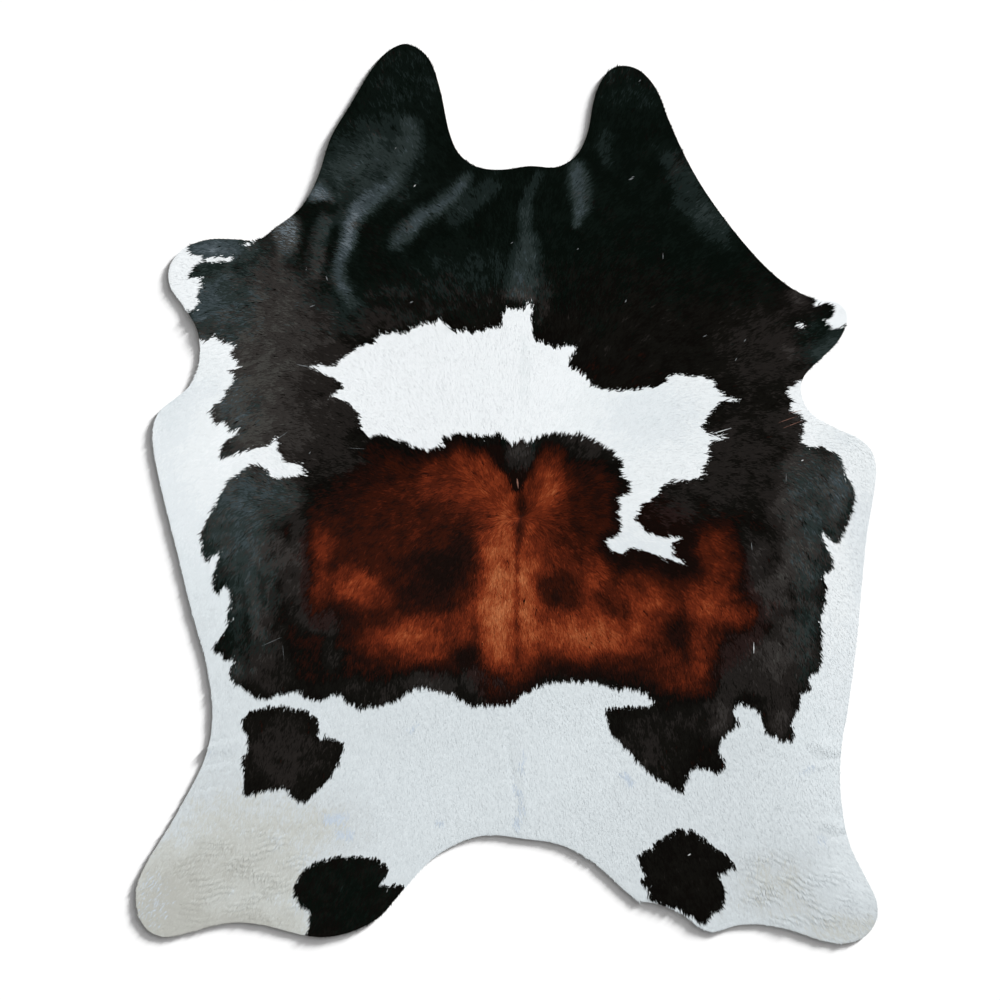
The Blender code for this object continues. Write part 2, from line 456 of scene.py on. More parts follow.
# grey in the hair; on the neck and its lobes the rows paint sheen, lighter grey where the light
# catches the hair
greyAndSheenTones = {
    "left front leg foot": (-745, 405, 30, 35, 0, 0.62),
    "right lobe edge": (420, -50, 65, 30, 0, 0.24),
    "left shoulder tip": (-680, 220, 45, 40, 0, 0.66),
    "above the brown left": (-420, 85, 85, 55, 0, 0.22),
    "left flank foot edge": (-650, -425, 40, 45, 0, 0.34),
    "above the white": (-330, 420, 110, 30, 0, 0.20),
    "left shoulder low inner": (-435, 195, 75, 75, 0, 0.24),
    "left flank seam": (-560, -260, 35, 150, 0, -0.24),
    "right rear tip": (345, -625, 80, 80, 0, 0.16),
    "right shoulder foot": (515, 50, 150, 120, 0, 0.19),
    "left lobe": (-250, 1000, 100, 100, 0, 0.12),
    "left lobe veil": (-345, 795, 115, 75, 14, 0.40),
    "left lobe haze": (-330, 865, 85, 55, 20, 0.20),
    "left neck fold": (-455, 735, 35, 20, -8, 0.82),
    "left neck foot": (-210, 475, 195, 55, 0, 0.12),
    "left neck shoulder": (-545, 510, 65, 75, 0, 0.27),
    "neck low middle": (-90, 535, 145, 65, 0, 0.14),
    "neck low right": (325, 400, 195, 100, 0, 0.05),
    "right lobe top": (305, 990, 95, 65, 0, 0.10),
    "right lobe side": (245, 840, 20, 50, 0, 0.20),
    "right neck edge": (435, 750, 35, 105, 28, 0.22),
    "right neck edge low": (500, 665, 30, 65, 45, 0.34),
    "left shoulder": (-595, 400, 145, 200, 0, 0.48),
    "left front leg": (-720, 475, 60, 100, 0, 0.56),
    "left front leg light": (-735, 435, 30, 20, 0, 0.50),
    "left front leg top": (-710, 600, 95, 30, 0, 0.70),
    "left shoulder low": (-615, 240, 105, 115, 0, 0.44),
    "left shoulder foot": (-635, 150, 90, 65, 0, 0.50),
    "left shoulder inner": (-515, 145, 60, 75, 0, 0.38),
    "left shoulder edge": (-445, 350, 65, 145, 0, 0.26),
    "left leg dark": (-745, 405, 25, 15, 0, -0.45),
    "left leg dark spot": (-715, 545, 20, 17, 0, -0.40),
    "left neck dark": (-500, 625, 20, 75, 0, -0.95, 2.5),
    "left flank top": (-635, 5, 115, 75, 0, 0.56),
    "left flank high": (-665, -90, 85, 95, 0, 0.50),
    "left flank middle": (-600, -165, 80, 120, 0, 0.46),
    "left flank inner": (-530, -135, 50, 135, 0, 0.38),
    "left flank top inner": (-540, 0, 45, 50, 0, 0.38),
    "left flank low": (-615, -285, 60, 110, 0, 0.42),
    "left flank foot": (-580, -415, 55, 70, 0, 0.20, 2.5),
    "left flank foot core": (-580, -390, 30, 25, 0, 0.20),
    "left mauve": (-485, -235, 50, 90, 0, 0.28),
    "left mauve low": (-460, -315, 55, 35, 0, 0.34),
    "left flank lobe": (-670, -365, 35, 50, 0, -0.22),
    "left flank line": (-640, -370, 7, 110, 0, -0.62),
    "left flank black": (-490, -405, 35, 80, 0, -0.62),
    "left flank black top": (-550, -290, 12, 40, -28, -0.45),
    "left flank fold": (-530, -90, 17, 30, 0, -0.75),
    "left flank dot": (-560, -225, 10, 15, 0, -0.60),
    "left flank dot low": (-600, -240, 7, 45, 0, -0.40),
    "left flank dot high": (-555, -70, 10, 20, 0, -0.35),
    "beside the brown": (-435, -385, 30, 60, 0, 0.18),
    "under the brown": (-330, -480, 100, 30, 0, 0.15),
    "lower edge left": (-190, -460, 75, 30, 0, 0.30),
    "lower edge middle": (-50, -455, 65, 40, 0, 0.36),
    "lower edge right": (165, -435, 145, 30, 0, 0.10),
    "whorl": (30, 100, 30, 40, 0, 0.32),
    "right of the whorl": (205, 130, 90, 40, 0, 0.22),
    "right lobe": (475, -30, 145, 75, 0, 0.13),
    "right shoulder": (645, 350, 135, 105, 0, 0.18),
    "right shoulder light": (690, 350, 35, 20, -30, 0.34),
    "right front leg": (785, 360, 40, 40, 0, 0.36),
    "right front leg top": (710, 475, 20, 20, 0, 0.34),
    "right neck foot": (585, 130, 105, 105, 0, 0.14),
    "right armpit": (690, 180, 55, 40, 0, 0.30),
    "right flank top": (735, -15, 90, 150, 0, 0.46, 2.5),
    "right flank edge": (810, 15, 35, 85, 0, 0.60),
    "right flank high": (705, -175, 60, 95, 0, 0.46),
    "right flank middle": (660, -235, 65, 85, 0, 0.40),
    "right flank low": (655, -370, 85, 120, 0, 0.42),
    "right flank outer": (735, -285, 35, 135, 0, 0.36),
    "right flank gap": (695, -260, 15, 40, 0, -0.45),
    "right flank gap low": (600, -500, 30, 17, 0, -0.90),
    "right mauve": (550, -405, 55, 85, 0, 0.30),
    "right dark box": (635, -330, 25, 20, 0, -0.90),
    "right flank dark": (640, -170, 20, 20, 0, -0.60),
    "right flank dot": (685, -290, 15, 12, 0, -0.50),
    "right flank dots": (695, -240, 17, 20, 0, -0.40),
    "right flank inner": (605, -165, 45, 70, 0, 0.34),
    "right inner": (525, -535, 35, 55, 0, 0.36),
    "right foot": (670, -545, 35, 50, 0, 0.30),
    "right rear lobe": (450, -555, 75, 50, 0, 0.14),
    "left spot": (-545, -635, 100, 95, 0, 0.18),
    "right hind spot": (450, -925, 100, 100, 0, 0.05),
}
coolTones = {                           # where the black leans to green
    "left shoulder tip": (-670, 230, 65, 60, 0, 0.50),
    "curl": (-385, 520, 55, 115, 0, 0.95),
    "whorl": (30, 100, 45, 50, 0, 0.90),
    "neck": (-15, 840, 635, 345, 0, 1.00),
    "neck low": (-90, 565, 295, 85, 0, 0.80),
    "right neck": (520, 635, 195, 150, 0, 0.90),
    "right front leg": (785, 375, 65, 75, 0, 0.90),
    "left front leg": (-720, 510, 100, 145, 0, 0.90),
    "left front leg top": (-715, 610, 110, 45, 0, 1.00),
    "left flank": (-670, -165, 95, 270, 0, 0.75),
    "left flank top": (-615, -5, 120, 65, 0, 0.55),
    "right flank": (770, -30, 85, 160, 0, 0.62),
    "right flank outer": (735, -310, 45, 145, 0, 0.60),
    "left hind leg": (-395, -980, 145, 110, 0, 0.60),
}
paleTones = {                           # added up, and to the fall from head to tail
    "right shoulder": (350, 190, 170, 100, 0, 0.28),
    "left armpit": (-820, 225, 90, 90, 0, 0.25),
    "left flank top": (-830, 90, 70, 170, 0, 0.14),
    "left flank": (-785, -260, 120, 270, 0, 0.10),
    "left leg": (-670, -775, 160, 100, 0, 0.20),
    "left belly": (-440, -805, 120, 80, 0, 0.22),
    "left hind leg": (-700, -925, 200, 105, 0, 0.36),
    "left hind edge": (-690, -1060, 240, 45, 0, 0.50),
    "left hind tip": (-850, -1005, 100, 100, 0, 0.44),
    "left hock": (-555, -960, 75, 75, 0, 0.12),
    "right flank": (840, -260, 170, 390, 0, -0.25),
    "right flank top": (870, -70, 60, 190, 0, 0.30),
    "right belly": (205, -615, 195, 145, 0, -0.12),
    "right thigh": (805, -650, 145, 220, 0, -0.12),
    "right hind leg": (665, -955, 140, 100, 0, 0.24),
    "right armpit": (815, 140, 70, 60, 0, 0.22),
    "left armpit foot": (-714, 278, 50, 60, 0, 0.14),
    "right hind edge": (850, -910, 85, 145, 0, -0.20),
    "right hind tip": (850, -1060, 120, 60, 0, 0.30),
    "belly": (-140, -725, 245, 120, 0, -0.06),
}
# painted shade: the white is made duller from head to tail, where it looks less lit; the pale tones
# are added to it
paintedShadeFall = {"from": 230, "to": -650, "least": 0.13, "most": 0.70}
mostPale = 1.25

# each row: tone, share of the length over which the ends fade, then x, y, half width and, in some,
# the share of the tone there
# painted sheen: bands of lighter grey hair where the light catches the folds on the neck
paintedSheenBands = {
    "left lobe right side": (0.42, 0.16, [(-255, 935, 20), (-240, 900, 27), (-240, 860, 34),
                                          (-255, 820, 37), (-280, 780, 32), (-310, 745, 29)]),
    "curl": (0.84, 0.10, [(-225, 800, 20, 0.3), (-255, 770, 22, 0.42), (-290, 745, 24, 0.62),
                          (-325, 725, 24, 0.8), (-350, 705, 22, 0.9), (-370, 680, 20, 0.95),
                          (-380, 650, 17, 1.0), (-385, 625, 15, 0.98), (-395, 595, 15, 0.9),
                          (-405, 565, 15, 0.84), (-410, 535, 17, 0.78), (-400, 505, 17, 0.66),
                          (-385, 475, 17, 0.56), (-365, 450, 20, 0.44), (-340, 425, 20, 0.34)]),
    "left of the curl": (0.40, 0.20, [(-430, 700, 15), (-440, 670, 17), (-450, 640, 20),
                                      (-460, 605, 20), (-465, 570, 20), (-470, 535, 20),
                                      (-480, 505, 17)]),
    "beside the curl": (0.30, 0.30, [(-390, 710, 20), (-400, 680, 17), (-410, 645, 15)]),
    "left neck edge": (1.26, 0.12, [(-545, 685, 24, 1.0), (-540, 650, 27, 1.0),
                                    (-540, 620, 24, 1.0), (-540, 600, 22, 0.75),
                                    (-535, 575, 17, 0.4)]),
    "left neck edge low": (0.44, 0.30, [(-540, 610, 17), (-550, 560, 22), (-555, 510, 24)]),
    "from the notch": (0.55, 0.08, [(-90, 790, 12, 0.8), (-95, 770, 15, 0.9), (-115, 745, 15, 1.0),
                                    (-130, 725, 17, 1.0), (-150, 710, 17, 1.0),
                                    (-175, 695, 20, 1.0), (-200, 680, 20, 1.0),
                                    (-220, 665, 20, 1.0), (-240, 645, 20, 0.95),
                                    (-260, 625, 20, 0.9), (-270, 605, 17, 0.85),
                                    (-275, 580, 15, 0.7)]),
    "beside the notch": (0.24, 0.22, [(0, 775, 24), (-35, 750, 24), (-75, 720, 24),
                                      (-105, 690, 22), (-130, 665, 20), (-160, 640, 15)]),
    "down the middle": (0.48, 0.07, [(85, 795, 12, 0.45), (75, 765, 12, 0.45), (60, 740, 12, 0.5),
                                     (50, 715, 12, 0.6), (45, 685, 15, 0.7), (45, 655, 17, 0.75),
                                     (50, 625, 22, 0.8), (50, 595, 29, 0.85), (45, 560, 34, 0.9),
                                     (40, 525, 39, 1.0), (35, 490, 42, 1.0), (30, 455, 42, 1.0)]),
    "right of the tongue": (0.20, 0.20, [(100, 530, 15), (95, 500, 17), (90, 460, 17),
                                         (85, 400, 15)]),
    "right of the notch": (0.56, 0.10, [(165, 820, 15), (170, 785, 20), (175, 755, 22),
                                        (180, 725, 22), (180, 695, 17), (170, 665, 10),
                                        (165, 635, 7)]),
    "right neck": (0.14, 0.30, [(395, 840, 15), (420, 780, 22), (450, 720, 24)]),
    "lobe line": (0.16, 0.25, [(-420, 885, 5), (-410, 860, 5), (-395, 835, 5)]),
    # painted shade along the neck crease: this band takes the sheen away
    "left neck crease": (-0.80, 0.12, [(-520, 680, 6), (-495, 695, 7), (-460, 705, 7),
                                       (-425, 710, 6)]),
}
spineLine = {
    "whorl": (-1.70, 0.05, [(10, 155, 49), (15, 120, 44), (15, 95, 37), (20, 70, 27), (25, 50, 20),
                            (25, 25, 12), (30, 0, 7)]),
    "upper": (-0.42, 0.10, [(25, 25, 7, 0.2), (30, -5, 10, 0.6), (35, -35, 12, 1.0),
                            (35, -70, 12, 1.0), (30, -105, 10, 0.95), (25, -145, 7, 0.8),
                            (25, -175, 5, 0.7)]),
    "lower": (-0.24, 0.10, [(25, -155, 5), (25, -210, 5), (25, -285, 5), (25, -360, 7),
                            (25, -420, 5)]),
}
paleMarks = {
    "spine above the whorl": (0.10, 0.30, [(40, 420, 10), (45, 300, 12), (40, 180, 10)]),
}
hazeMarks = {                           # faint bluish marks in the white
    "left leg upper": (-408, -792, 27, 15, 0, 0.90),
    "left leg lower": (-396, -838, 20, 17, 30, 0.70),
    "left belly": (-225, -576, 12, 5, 10, 0.80),
    "left hock": (-171, -801, 15, 6, 0, 0.70),
    "left thigh": (-731, -633, 12, 12, 0, 0.40),
    "right belly": (299, -701, 22, 9, -38, 0.80),
    "right thigh": (744, -684, 22, 6, 20, 0.50),
    "right thigh low": (693, -718, 15, 5, 0, 0.40),
    "right hock": (771, -848, 20, 10, -10, 0.50),
    "left hind tip": (-865, -990, 55, 75, 0, 0.26),
    # the tail rows paint shade along the fold at the tail, as bluish grey hair
    "tail": (24, -750, 7, 36, 4, 0.65),
    "tail upper": (40, -664, 7, 34, -4, 0.50),
    "tail foot": (13, -804, 10, 20, 20, 0.60),
}
brownFade = (8, 50)       # the brown starts this far inside the dark coat, and is full there
crossing = 0.5            # how much of itself each of brown and grey takes off the other
# how far the painted sheen's edges stray
paintedSheenWander = 0.2         # the folds' sheen strays less than the tones do
routeStep = 8.0
wanders = [(75, 18, 1.3), (26, 10, 4.1)]     # how the tones' edges stray: wave length, depth, shift
wanderSeed = 4


def hollow(square, sharpness=1.4):
    # 1 in the middle, flat there, and a soft fall around 1
    return np.exp(-0.7 * square ** sharpness)


def stretched(xy, row):
    # square of the distance from the row's middle, in its half sizes
    x, y, halfX, halfY, turn = row[:5]
    c, s = math.cos(math.radians(turn)), math.sin(math.radians(turn))
    dx, dy = xy[:, 0] - x, xy[:, 1] - y
    return ((dx * c + dy * s) / halfX) ** 2 + ((dy * c - dx * s) / halfY) ** 2


def joined(xy, table):
    # the rows above 0 run into each other, and those below 0 take their share away
    total, kept = np.zeros(len(xy)), np.ones(len(xy))
    for row in table.values():
        tone = row[5] * hollow(stretched(xy, row), *row[6:])
        if row[5] > 0:
            total += tone ** 3
        else:
            kept *= 1 + tone
    return np.cbrt(total) * kept


def added(xy, table):
    return sum(row[5] * np.exp(-stretched(xy, row)) for row in table.values())


def bands(xy, table):
    # where bands cross the stronger one shows; the ones below 0 take away
    lit, taken = np.zeros(len(xy)), np.zeros(len(xy))
    for tone, fade, points in table.values():
        route = pathThrough(points, routeStep)
        near, distance, share, others = besideRoute(xy, route, 2.2 * max(p[2] for p in points))
        tones = tone * ease(share, 0, fade) * ease(1 - share, 0, fade)
        tones = tones * hollow((distance / others[:, 0]) ** 2)
        if others.shape[1] > 1:
            tones = tones * others[:, 1]
        lit[near] = np.maximum(lit[near], tones)
        taken[near] += np.minimum(tones, 0)
    return lit + taken


noise.seed_set(wanderSeed)     # without it this noise starts from the clock


def wandering(xy, share=1.0):
    # moves the points about by smooth noise, so that no tone keeps a plain round edge
    moved = xy.copy()
    for size, depth, shift in wanders:
        pushes = [noise.noise_vector((x / size, y / size, shift))[:2] for x, y in xy]
        moved += share * depth * np.array(pushes)
    return moved


# creases: soft troughs and ridges

# each row: height, half width, route
creases = {
    "left neck crease": (-1.2, 7, [(-510, 695), (-470, 712), (-420, 708)]),
    "tail left": (-1.6, 8, [(2, -560), (8, -650), (20, -735), (24, -815)]),
    "tail right": (1.2, 9, [(30, -545), (34, -640), (44, -730), (52, -810)]),
    "left thigh upper": (-0.9, 7, [(-745, -605), (-712, -600), (-680, -588)]),
    "left thigh middle": (-0.9, 7, [(-742, -662), (-705, -655), (-672, -640)]),
    "left thigh lower": (-0.8, 7, [(-758, -722), (-722, -712), (-690, -704)]),
    "right thigh upper": (-0.9, 8, [(822, -640), (785, -645), (748, -652)]),
    "right thigh lower": (-0.8, 8, [(838, -828), (800, -836), (765, -850)]),
    "scratch": (-0.5, 4, [(708, -748), (716, -764)]),
}
# finely crinkled skin on the hind legs: middle x, y, half sizes, turn, wave length, height
crinkles = {
    "left hind leg": (-640, -930, 160, 115, 4, 14.0, 0.55),
    "right hind leg": (705, -975, 140, 90, -22, 14.0, 0.50),
}


def creaseHeight(xy):
    height = np.zeros(len(xy))
    for amount, halfWidth, points in creases.values():
        near, distance, share, _ = besideRoute(xy, pathThrough(points, 6.0), 3.0 * halfWidth)
        height[near] += amount * np.sin(np.pi * share) ** 0.5 * np.exp(-(distance / halfWidth) ** 2)
    for x, y, halfX, halfY, turn, length, amount in crinkles.values():
        c, s = math.cos(math.radians(turn)), math.sin(math.radians(turn))
        u, v = (xy[:, 0] - x) * c + (xy[:, 1] - y) * s, (xy[:, 1] - y) * c - (xy[:, 0] - x) * s
        # uneven, broken waves across the leg
        fades = np.exp(-(u / halfX) ** 4 - (v / halfY) ** 4)
        sway = 0.9 * np.sin(u / 31 + v / 60) + 0.7 * np.sin(u / 13.7 - v / 41 + 1.3)
        breaks = 0.5 + 0.5 * np.sin(u / 23 + 2.1 * np.sin(v / 17))
        height += amount * fades * breaks * np.sin(2 * np.pi * v / length + 1.8 * sway)
    return height


# the leather's mesh

# where the rows of points stand closer: middle x, y and half sizes
closeZones = [row[:4] for row in crinkles.values()]
closeZones.append((25, -190, 22, 240))      # along the spine


def staggeredRows(box, gap):
    ys = np.arange(box[1], box[3], gap * math.sqrt(3) / 2)
    x, y = np.meshgrid(np.arange(box[0], box[2], gap), ys)
    x = x + 0.5 * gap * (np.arange(len(ys)) % 2)[:, None]
    return np.column_stack([x.ravel(), y.ravel()])


def gridInside(step, margin, closeStep=None):
    # points inside the cut edge, closer together in the close zones where a close step is given
    boxes = []
    if closeStep:
        boxes = [(x - halfX, y - halfY, x + halfX, y + halfY) for x, y, halfX, halfY in closeZones]
    wide = staggeredRows((*rim.min(axis=0), *rim.max(axis=0)), step)
    for x0, y0, x1, y1 in boxes:
        within = ((wide > (x0, y0)) & (wide < (x1, y1))).all(axis=1)
        wide = wide[~within]
    points = np.vstack([wide] + [staggeredRows(box, closeStep) for box in boxes])
    return points[signedDistance(points, rim) > margin]


def triangulated(inner):
    flat = np.vstack([rim, inner])
    places, _, faces, *_ = delaunay_2d_cdt(
        [Vector(p) for p in flat], [], [list(range(len(rim)))], 1, 1e-6)
    return np.array([tuple(p) for p in places]), faces


def meshFrom(name, places, faces):
    mesh = bpy.data.meshes.new(name)
    mesh.from_pydata((places * mm).tolist(), [], faces)
    mesh.validate()
    mesh.update()
    return mesh


def addField(mesh, name, values):
    kind = "FLOAT_VECTOR" if values.ndim == 2 else "FLOAT"
    attribute = mesh.attributes.new(name, kind, "POINT")
    full = np.zeros((len(mesh.vertices),) + values.shape[1:])
    full[:len(values)] = values
    attribute.data.foreach_set("vector" if values.ndim == 2 else "value", full.ravel())


topFlat, topFaces = triangulated(
    gridInside(leather["topStep"], leather["topMargin"], leather["creasedStep"]))
underFlat, underFaces = triangulated(gridInside(leather["underStep"], leather["underMargin"]))
underZ = raisedAt(underFlat)
topZ = raisedAt(topFlat) + leather["thickness"] + creaseHeight(topFlat)
print("leather laid out,", len(topFaces), "faces on top and", len(underFaces), "below")

direction = layAt(topFlat)
probe = 6.0                # slopes are taken over this far along the lay
lockReach = 8.5            # from a lock's root to its middle
coat = coatAt(topFlat)
rimDistance = np.maximum(signedDistance(topFlat, rim), 0.0)
coatSlope = (coatAt(topFlat + direction * probe) - coat) / probe
rimSlope = (signedDistance(topFlat + direction * probe, rim) - rimDistance) / probe
leftward = np.column_stack([-direction[:, 1], direction[:, 0]])
rimAcross = (signedDistance(topFlat + leftward * probe, rim) - rimDistance) / probe

# the tones are read where the middle of a lock that stands here comes to lie
lockMiddles = topFlat + direction * lockReach
uneven = wandering(lockMiddles)
brown = joined(uneven, brownTones) + bands(lockMiddles, spineLine)
brown = np.maximum(brown, 0) * ease(coat, *brownFade)
# painted sheen: the bands' lighter grey joins the grey of the hair
paintedSheen = bands(wandering(lockMiddles, paintedSheenWander), paintedSheenBands)
# this grey holds both the hair's own grey and the painted sheen
grey = np.maximum(joined(uneven, greyAndSheenTones) * (1 + np.minimum(paintedSheen, 0)), paintedSheen)
grey = np.clip(grey, 0, 1)
brown, grey = np.maximum(brown - crossing * grey, 0), np.maximum(grey - crossing * brown, 0)
haze = np.clip(joined(uneven, hazeMarks), 0, 1)
reddish = joined(uneven, {name: row for name, row in brownTones.items() if row[5] > 0})
cool = np.clip(joined(uneven, coolTones), 0, 1)
# painted shade: duller white towards the tail
downwards = ease(-lockMiddles[:, 1], -paintedShadeFall["from"], -paintedShadeFall["to"])
pale = paintedShadeFall["least"] + (paintedShadeFall["most"] - paintedShadeFall["least"]) * downwards
pale = np.clip(pale + added(uneven, paleTones) + bands(lockMiddles, paleMarks), 0, mostPale)

fields = {
    "coat": coat, "coatSlope": coatSlope,
    "rim": rimDistance, "rimSlope": rimSlope, "rimAcross": rimAcross,
    "brown": brown, "grey": grey, "reddish": reddish, "cool": cool, "pale": pale, "haze": haze,
    "lay": np.column_stack([direction, np.zeros(len(direction))]),
}
print("coat patches, tones and lay worked out")


# shades of hair and the leather's own finishes

# colours 0 to 255; a lock takes the shade of its own coat in whose span its tone falls, and a span
# up to 9 or down to -9 is open. The coat is a number and how far from it a lock's own may be
white, bluish, greenBlack, warmBlack, redBlack = (0, 0.1), (-1, 0.1), (1, 0.1), (2, 0.1), (3, 0.1)
anyBlack = (2, 1.1)
darkShades = {
    "silver": {"colour": (104, 114, 120), "span": (-9.0, -0.84), "coat": greenBlack},
    "pewter": {"colour": (79, 89, 94), "span": (-0.84, -0.68), "coat": greenBlack},
    "slate": {"colour": (59, 69, 72), "span": (-0.68, -0.50), "coat": greenBlack},
    "moss": {"colour": (43, 52, 51), "span": (-0.50, -0.32), "coat": greenBlack},
    "bottle": {"colour": (26, 35, 33), "span": (-0.32, -0.14), "coat": greenBlack},
    "pine": {"colour": (10, 18, 14), "span": (-0.14, -0.02), "coat": greenBlack},
    "raven": {"colour": (5, 11, 7), "span": (-0.02, 0.08), "coat": greenBlack},
    "dun": {"colour": (66, 65, 62), "span": (-9.0, -0.50), "coat": warmBlack},
    "taupe": {"colour": (52, 49, 47), "span": (-0.50, -0.32), "coat": warmBlack},
    "cocoa": {"colour": (34, 31, 29), "span": (-0.32, -0.14), "coat": warmBlack},
    "soot": {"colour": (16, 15, 12), "span": (-0.14, -0.02), "coat": warmBlack},
    "ink": {"colour": (10, 8, 6), "span": (-0.02, 0.08), "coat": warmBlack},
    "mauve": {"colour": (57, 43, 40), "span": (-9.0, -0.32), "coat": redBlack},
    "mulberry": {"colour": (38, 26, 24), "span": (-0.32, -0.14), "coat": redBlack},
    "sable": {"colour": (19, 9, 6), "span": (-0.14, 0.08), "coat": redBlack},
    "umber": {"colour": (32, 13, 8), "span": (0.08, 0.18), "coat": anyBlack},
    "bark": {"colour": (50, 18, 8), "span": (0.18, 0.30), "coat": anyBlack},
    "chestnut": {"colour": (73, 27, 13), "span": (0.30, 0.42), "coat": anyBlack},
    "russet": {"colour": (98, 37, 18), "span": (0.42, 0.55), "coat": anyBlack},
    "rust": {"colour": (123, 50, 25), "span": (0.55, 0.68), "coat": anyBlack},
    "copper": {"colour": (145, 69, 38), "span": (0.68, 0.82), "coat": anyBlack},
    "amber": {"colour": (162, 88, 52), "span": (0.82, 0.95), "coat": anyBlack},
    "gold": {"colour": (178, 105, 66), "span": (0.95, 9.0), "coat": anyBlack},
}
paleShades = {
    "white": {"colour": (240, 244, 246), "span": (-9.0, 0.06), "coat": white},
    "chalk": {"colour": (236, 240, 242), "span": (0.06, 0.19), "coat": white},
    "milk": {"colour": (230, 235, 237), "span": (0.19, 0.31), "coat": white},
    "pearl": {"colour": (223, 229, 232), "span": (0.31, 0.44), "coat": white},
    "shell": {"colour": (217, 224, 227), "span": (0.44, 0.56), "coat": white},
    "ash": {"colour": (211, 218, 221), "span": (0.56, 0.69), "coat": white},
    "dew": {"colour": (205, 212, 215), "span": (0.69, 0.81), "coat": white},
    "mist": {"colour": (199, 205, 207), "span": (0.81, 0.92), "coat": white},
    "cream": {"colour": (194, 197, 193), "span": (0.92, 1.03), "coat": white},
    "oat": {"colour": (188, 190, 185), "span": (1.03, 1.14), "coat": white},
    "beige": {"colour": (180, 181, 175), "span": (1.14, 9.0), "coat": white},
    "haze": {"colour": (190, 201, 212), "span": (-9.0, 9.0), "coat": bluish},
}


def linear(colour):
    parts = [c / 255 for c in colour]
    return tuple(p / 12.92 if p <= 0.04045 else ((p + 0.055) / 1.055) ** 2.4 for p in parts) + (1.0,)


def newMaterial(name, roughness, specular):
    material = bpy.data.materials.new(name)
    material.use_nodes = True
    shader = material.node_tree.nodes["Principled BSDF"]
    shader.inputs["Roughness"].default_value = roughness
    shader.inputs["Specular IOR Level"].default_value = specular
    return material, material.node_tree, shader


def putOn(tree, value, socket):
    # a number or vector is set on the socket, and another node's output is linked to it
    if isinstance(value, (int, float, tuple)):
        socket.default_value = value
    else:
        tree.links.new(value, socket)


def mathNode(tree, operation, *values):
    node = tree.nodes.new("ShaderNodeMath")
    node.operation = operation
    for value, socket in zip(values, node.inputs):
        putOn(tree, value, socket)
    return node.outputs[0]


def grain(tree, scale, detail):
    place = tree.nodes.new("ShaderNodeTexCoord").outputs["Object"]
    node = tree.nodes.new("ShaderNodeTexNoise")
    node.inputs["Scale"].default_value = scale
    node.inputs["Detail"].default_value = detail
    tree.links.new(place, node.inputs["Vector"])
    return node.outputs["Fac"]


def addBump(tree, shader, height, distance, strength=1.0):
    bump = tree.nodes.new("ShaderNodeBump")
    bump.inputs["Distance"].default_value = distance
    bump.inputs["Strength"].default_value = strength
    tree.links.new(height, bump.inputs["Height"])
    tree.links.new(bump.outputs["Normal"], shader.inputs["Normal"])


hairGloss = {"roughness": 0.5, "dark": 0.015, "pale": 0.06}


def hairMaterial(name, colour, isDark):
    specular = hairGloss["dark" if isDark else "pale"]
    material, _, shader = newMaterial("hair_" + name, hairGloss["roughness"], specular)
    shader.inputs["Base Color"].default_value = linear(colour)
    return material


def spanRamp(tree, shades, low, high):
    # a colour ramp with a stop in the middle of each shade's span, from low to high
    node = tree.nodes.new("ShaderNodeValToRGB")
    stops = node.color_ramp.elements
    while len(stops) > 1:
        stops.remove(stops[-1])
    for i, entry in enumerate(shades):
        start, end = max(entry["span"][0], low), min(entry["span"][1], high)
        place = ((start + end) / 2 - low) / (high - low)
        stop = stops[0] if i == 0 else stops.new(place)
        stop.position = place
        stop.color = linear(entry["colour"])
    return node


hairSide = {                   # the leather seen between the locks
    "tuftGrain": (140, 2),     # scale and detail
    "tuftReach": 14.0,         # unevenness of the patches' borders, in millimetres
    "border": 1.5,             # half the width over which white turns dark
    "mottleGrain": (90, 4),
    "mottle": 0.36,
    "bumpGrain": (420, 3),
    "bumpDistance": 0.0006,    # metres
    "bumpStrength": 0.5,
}


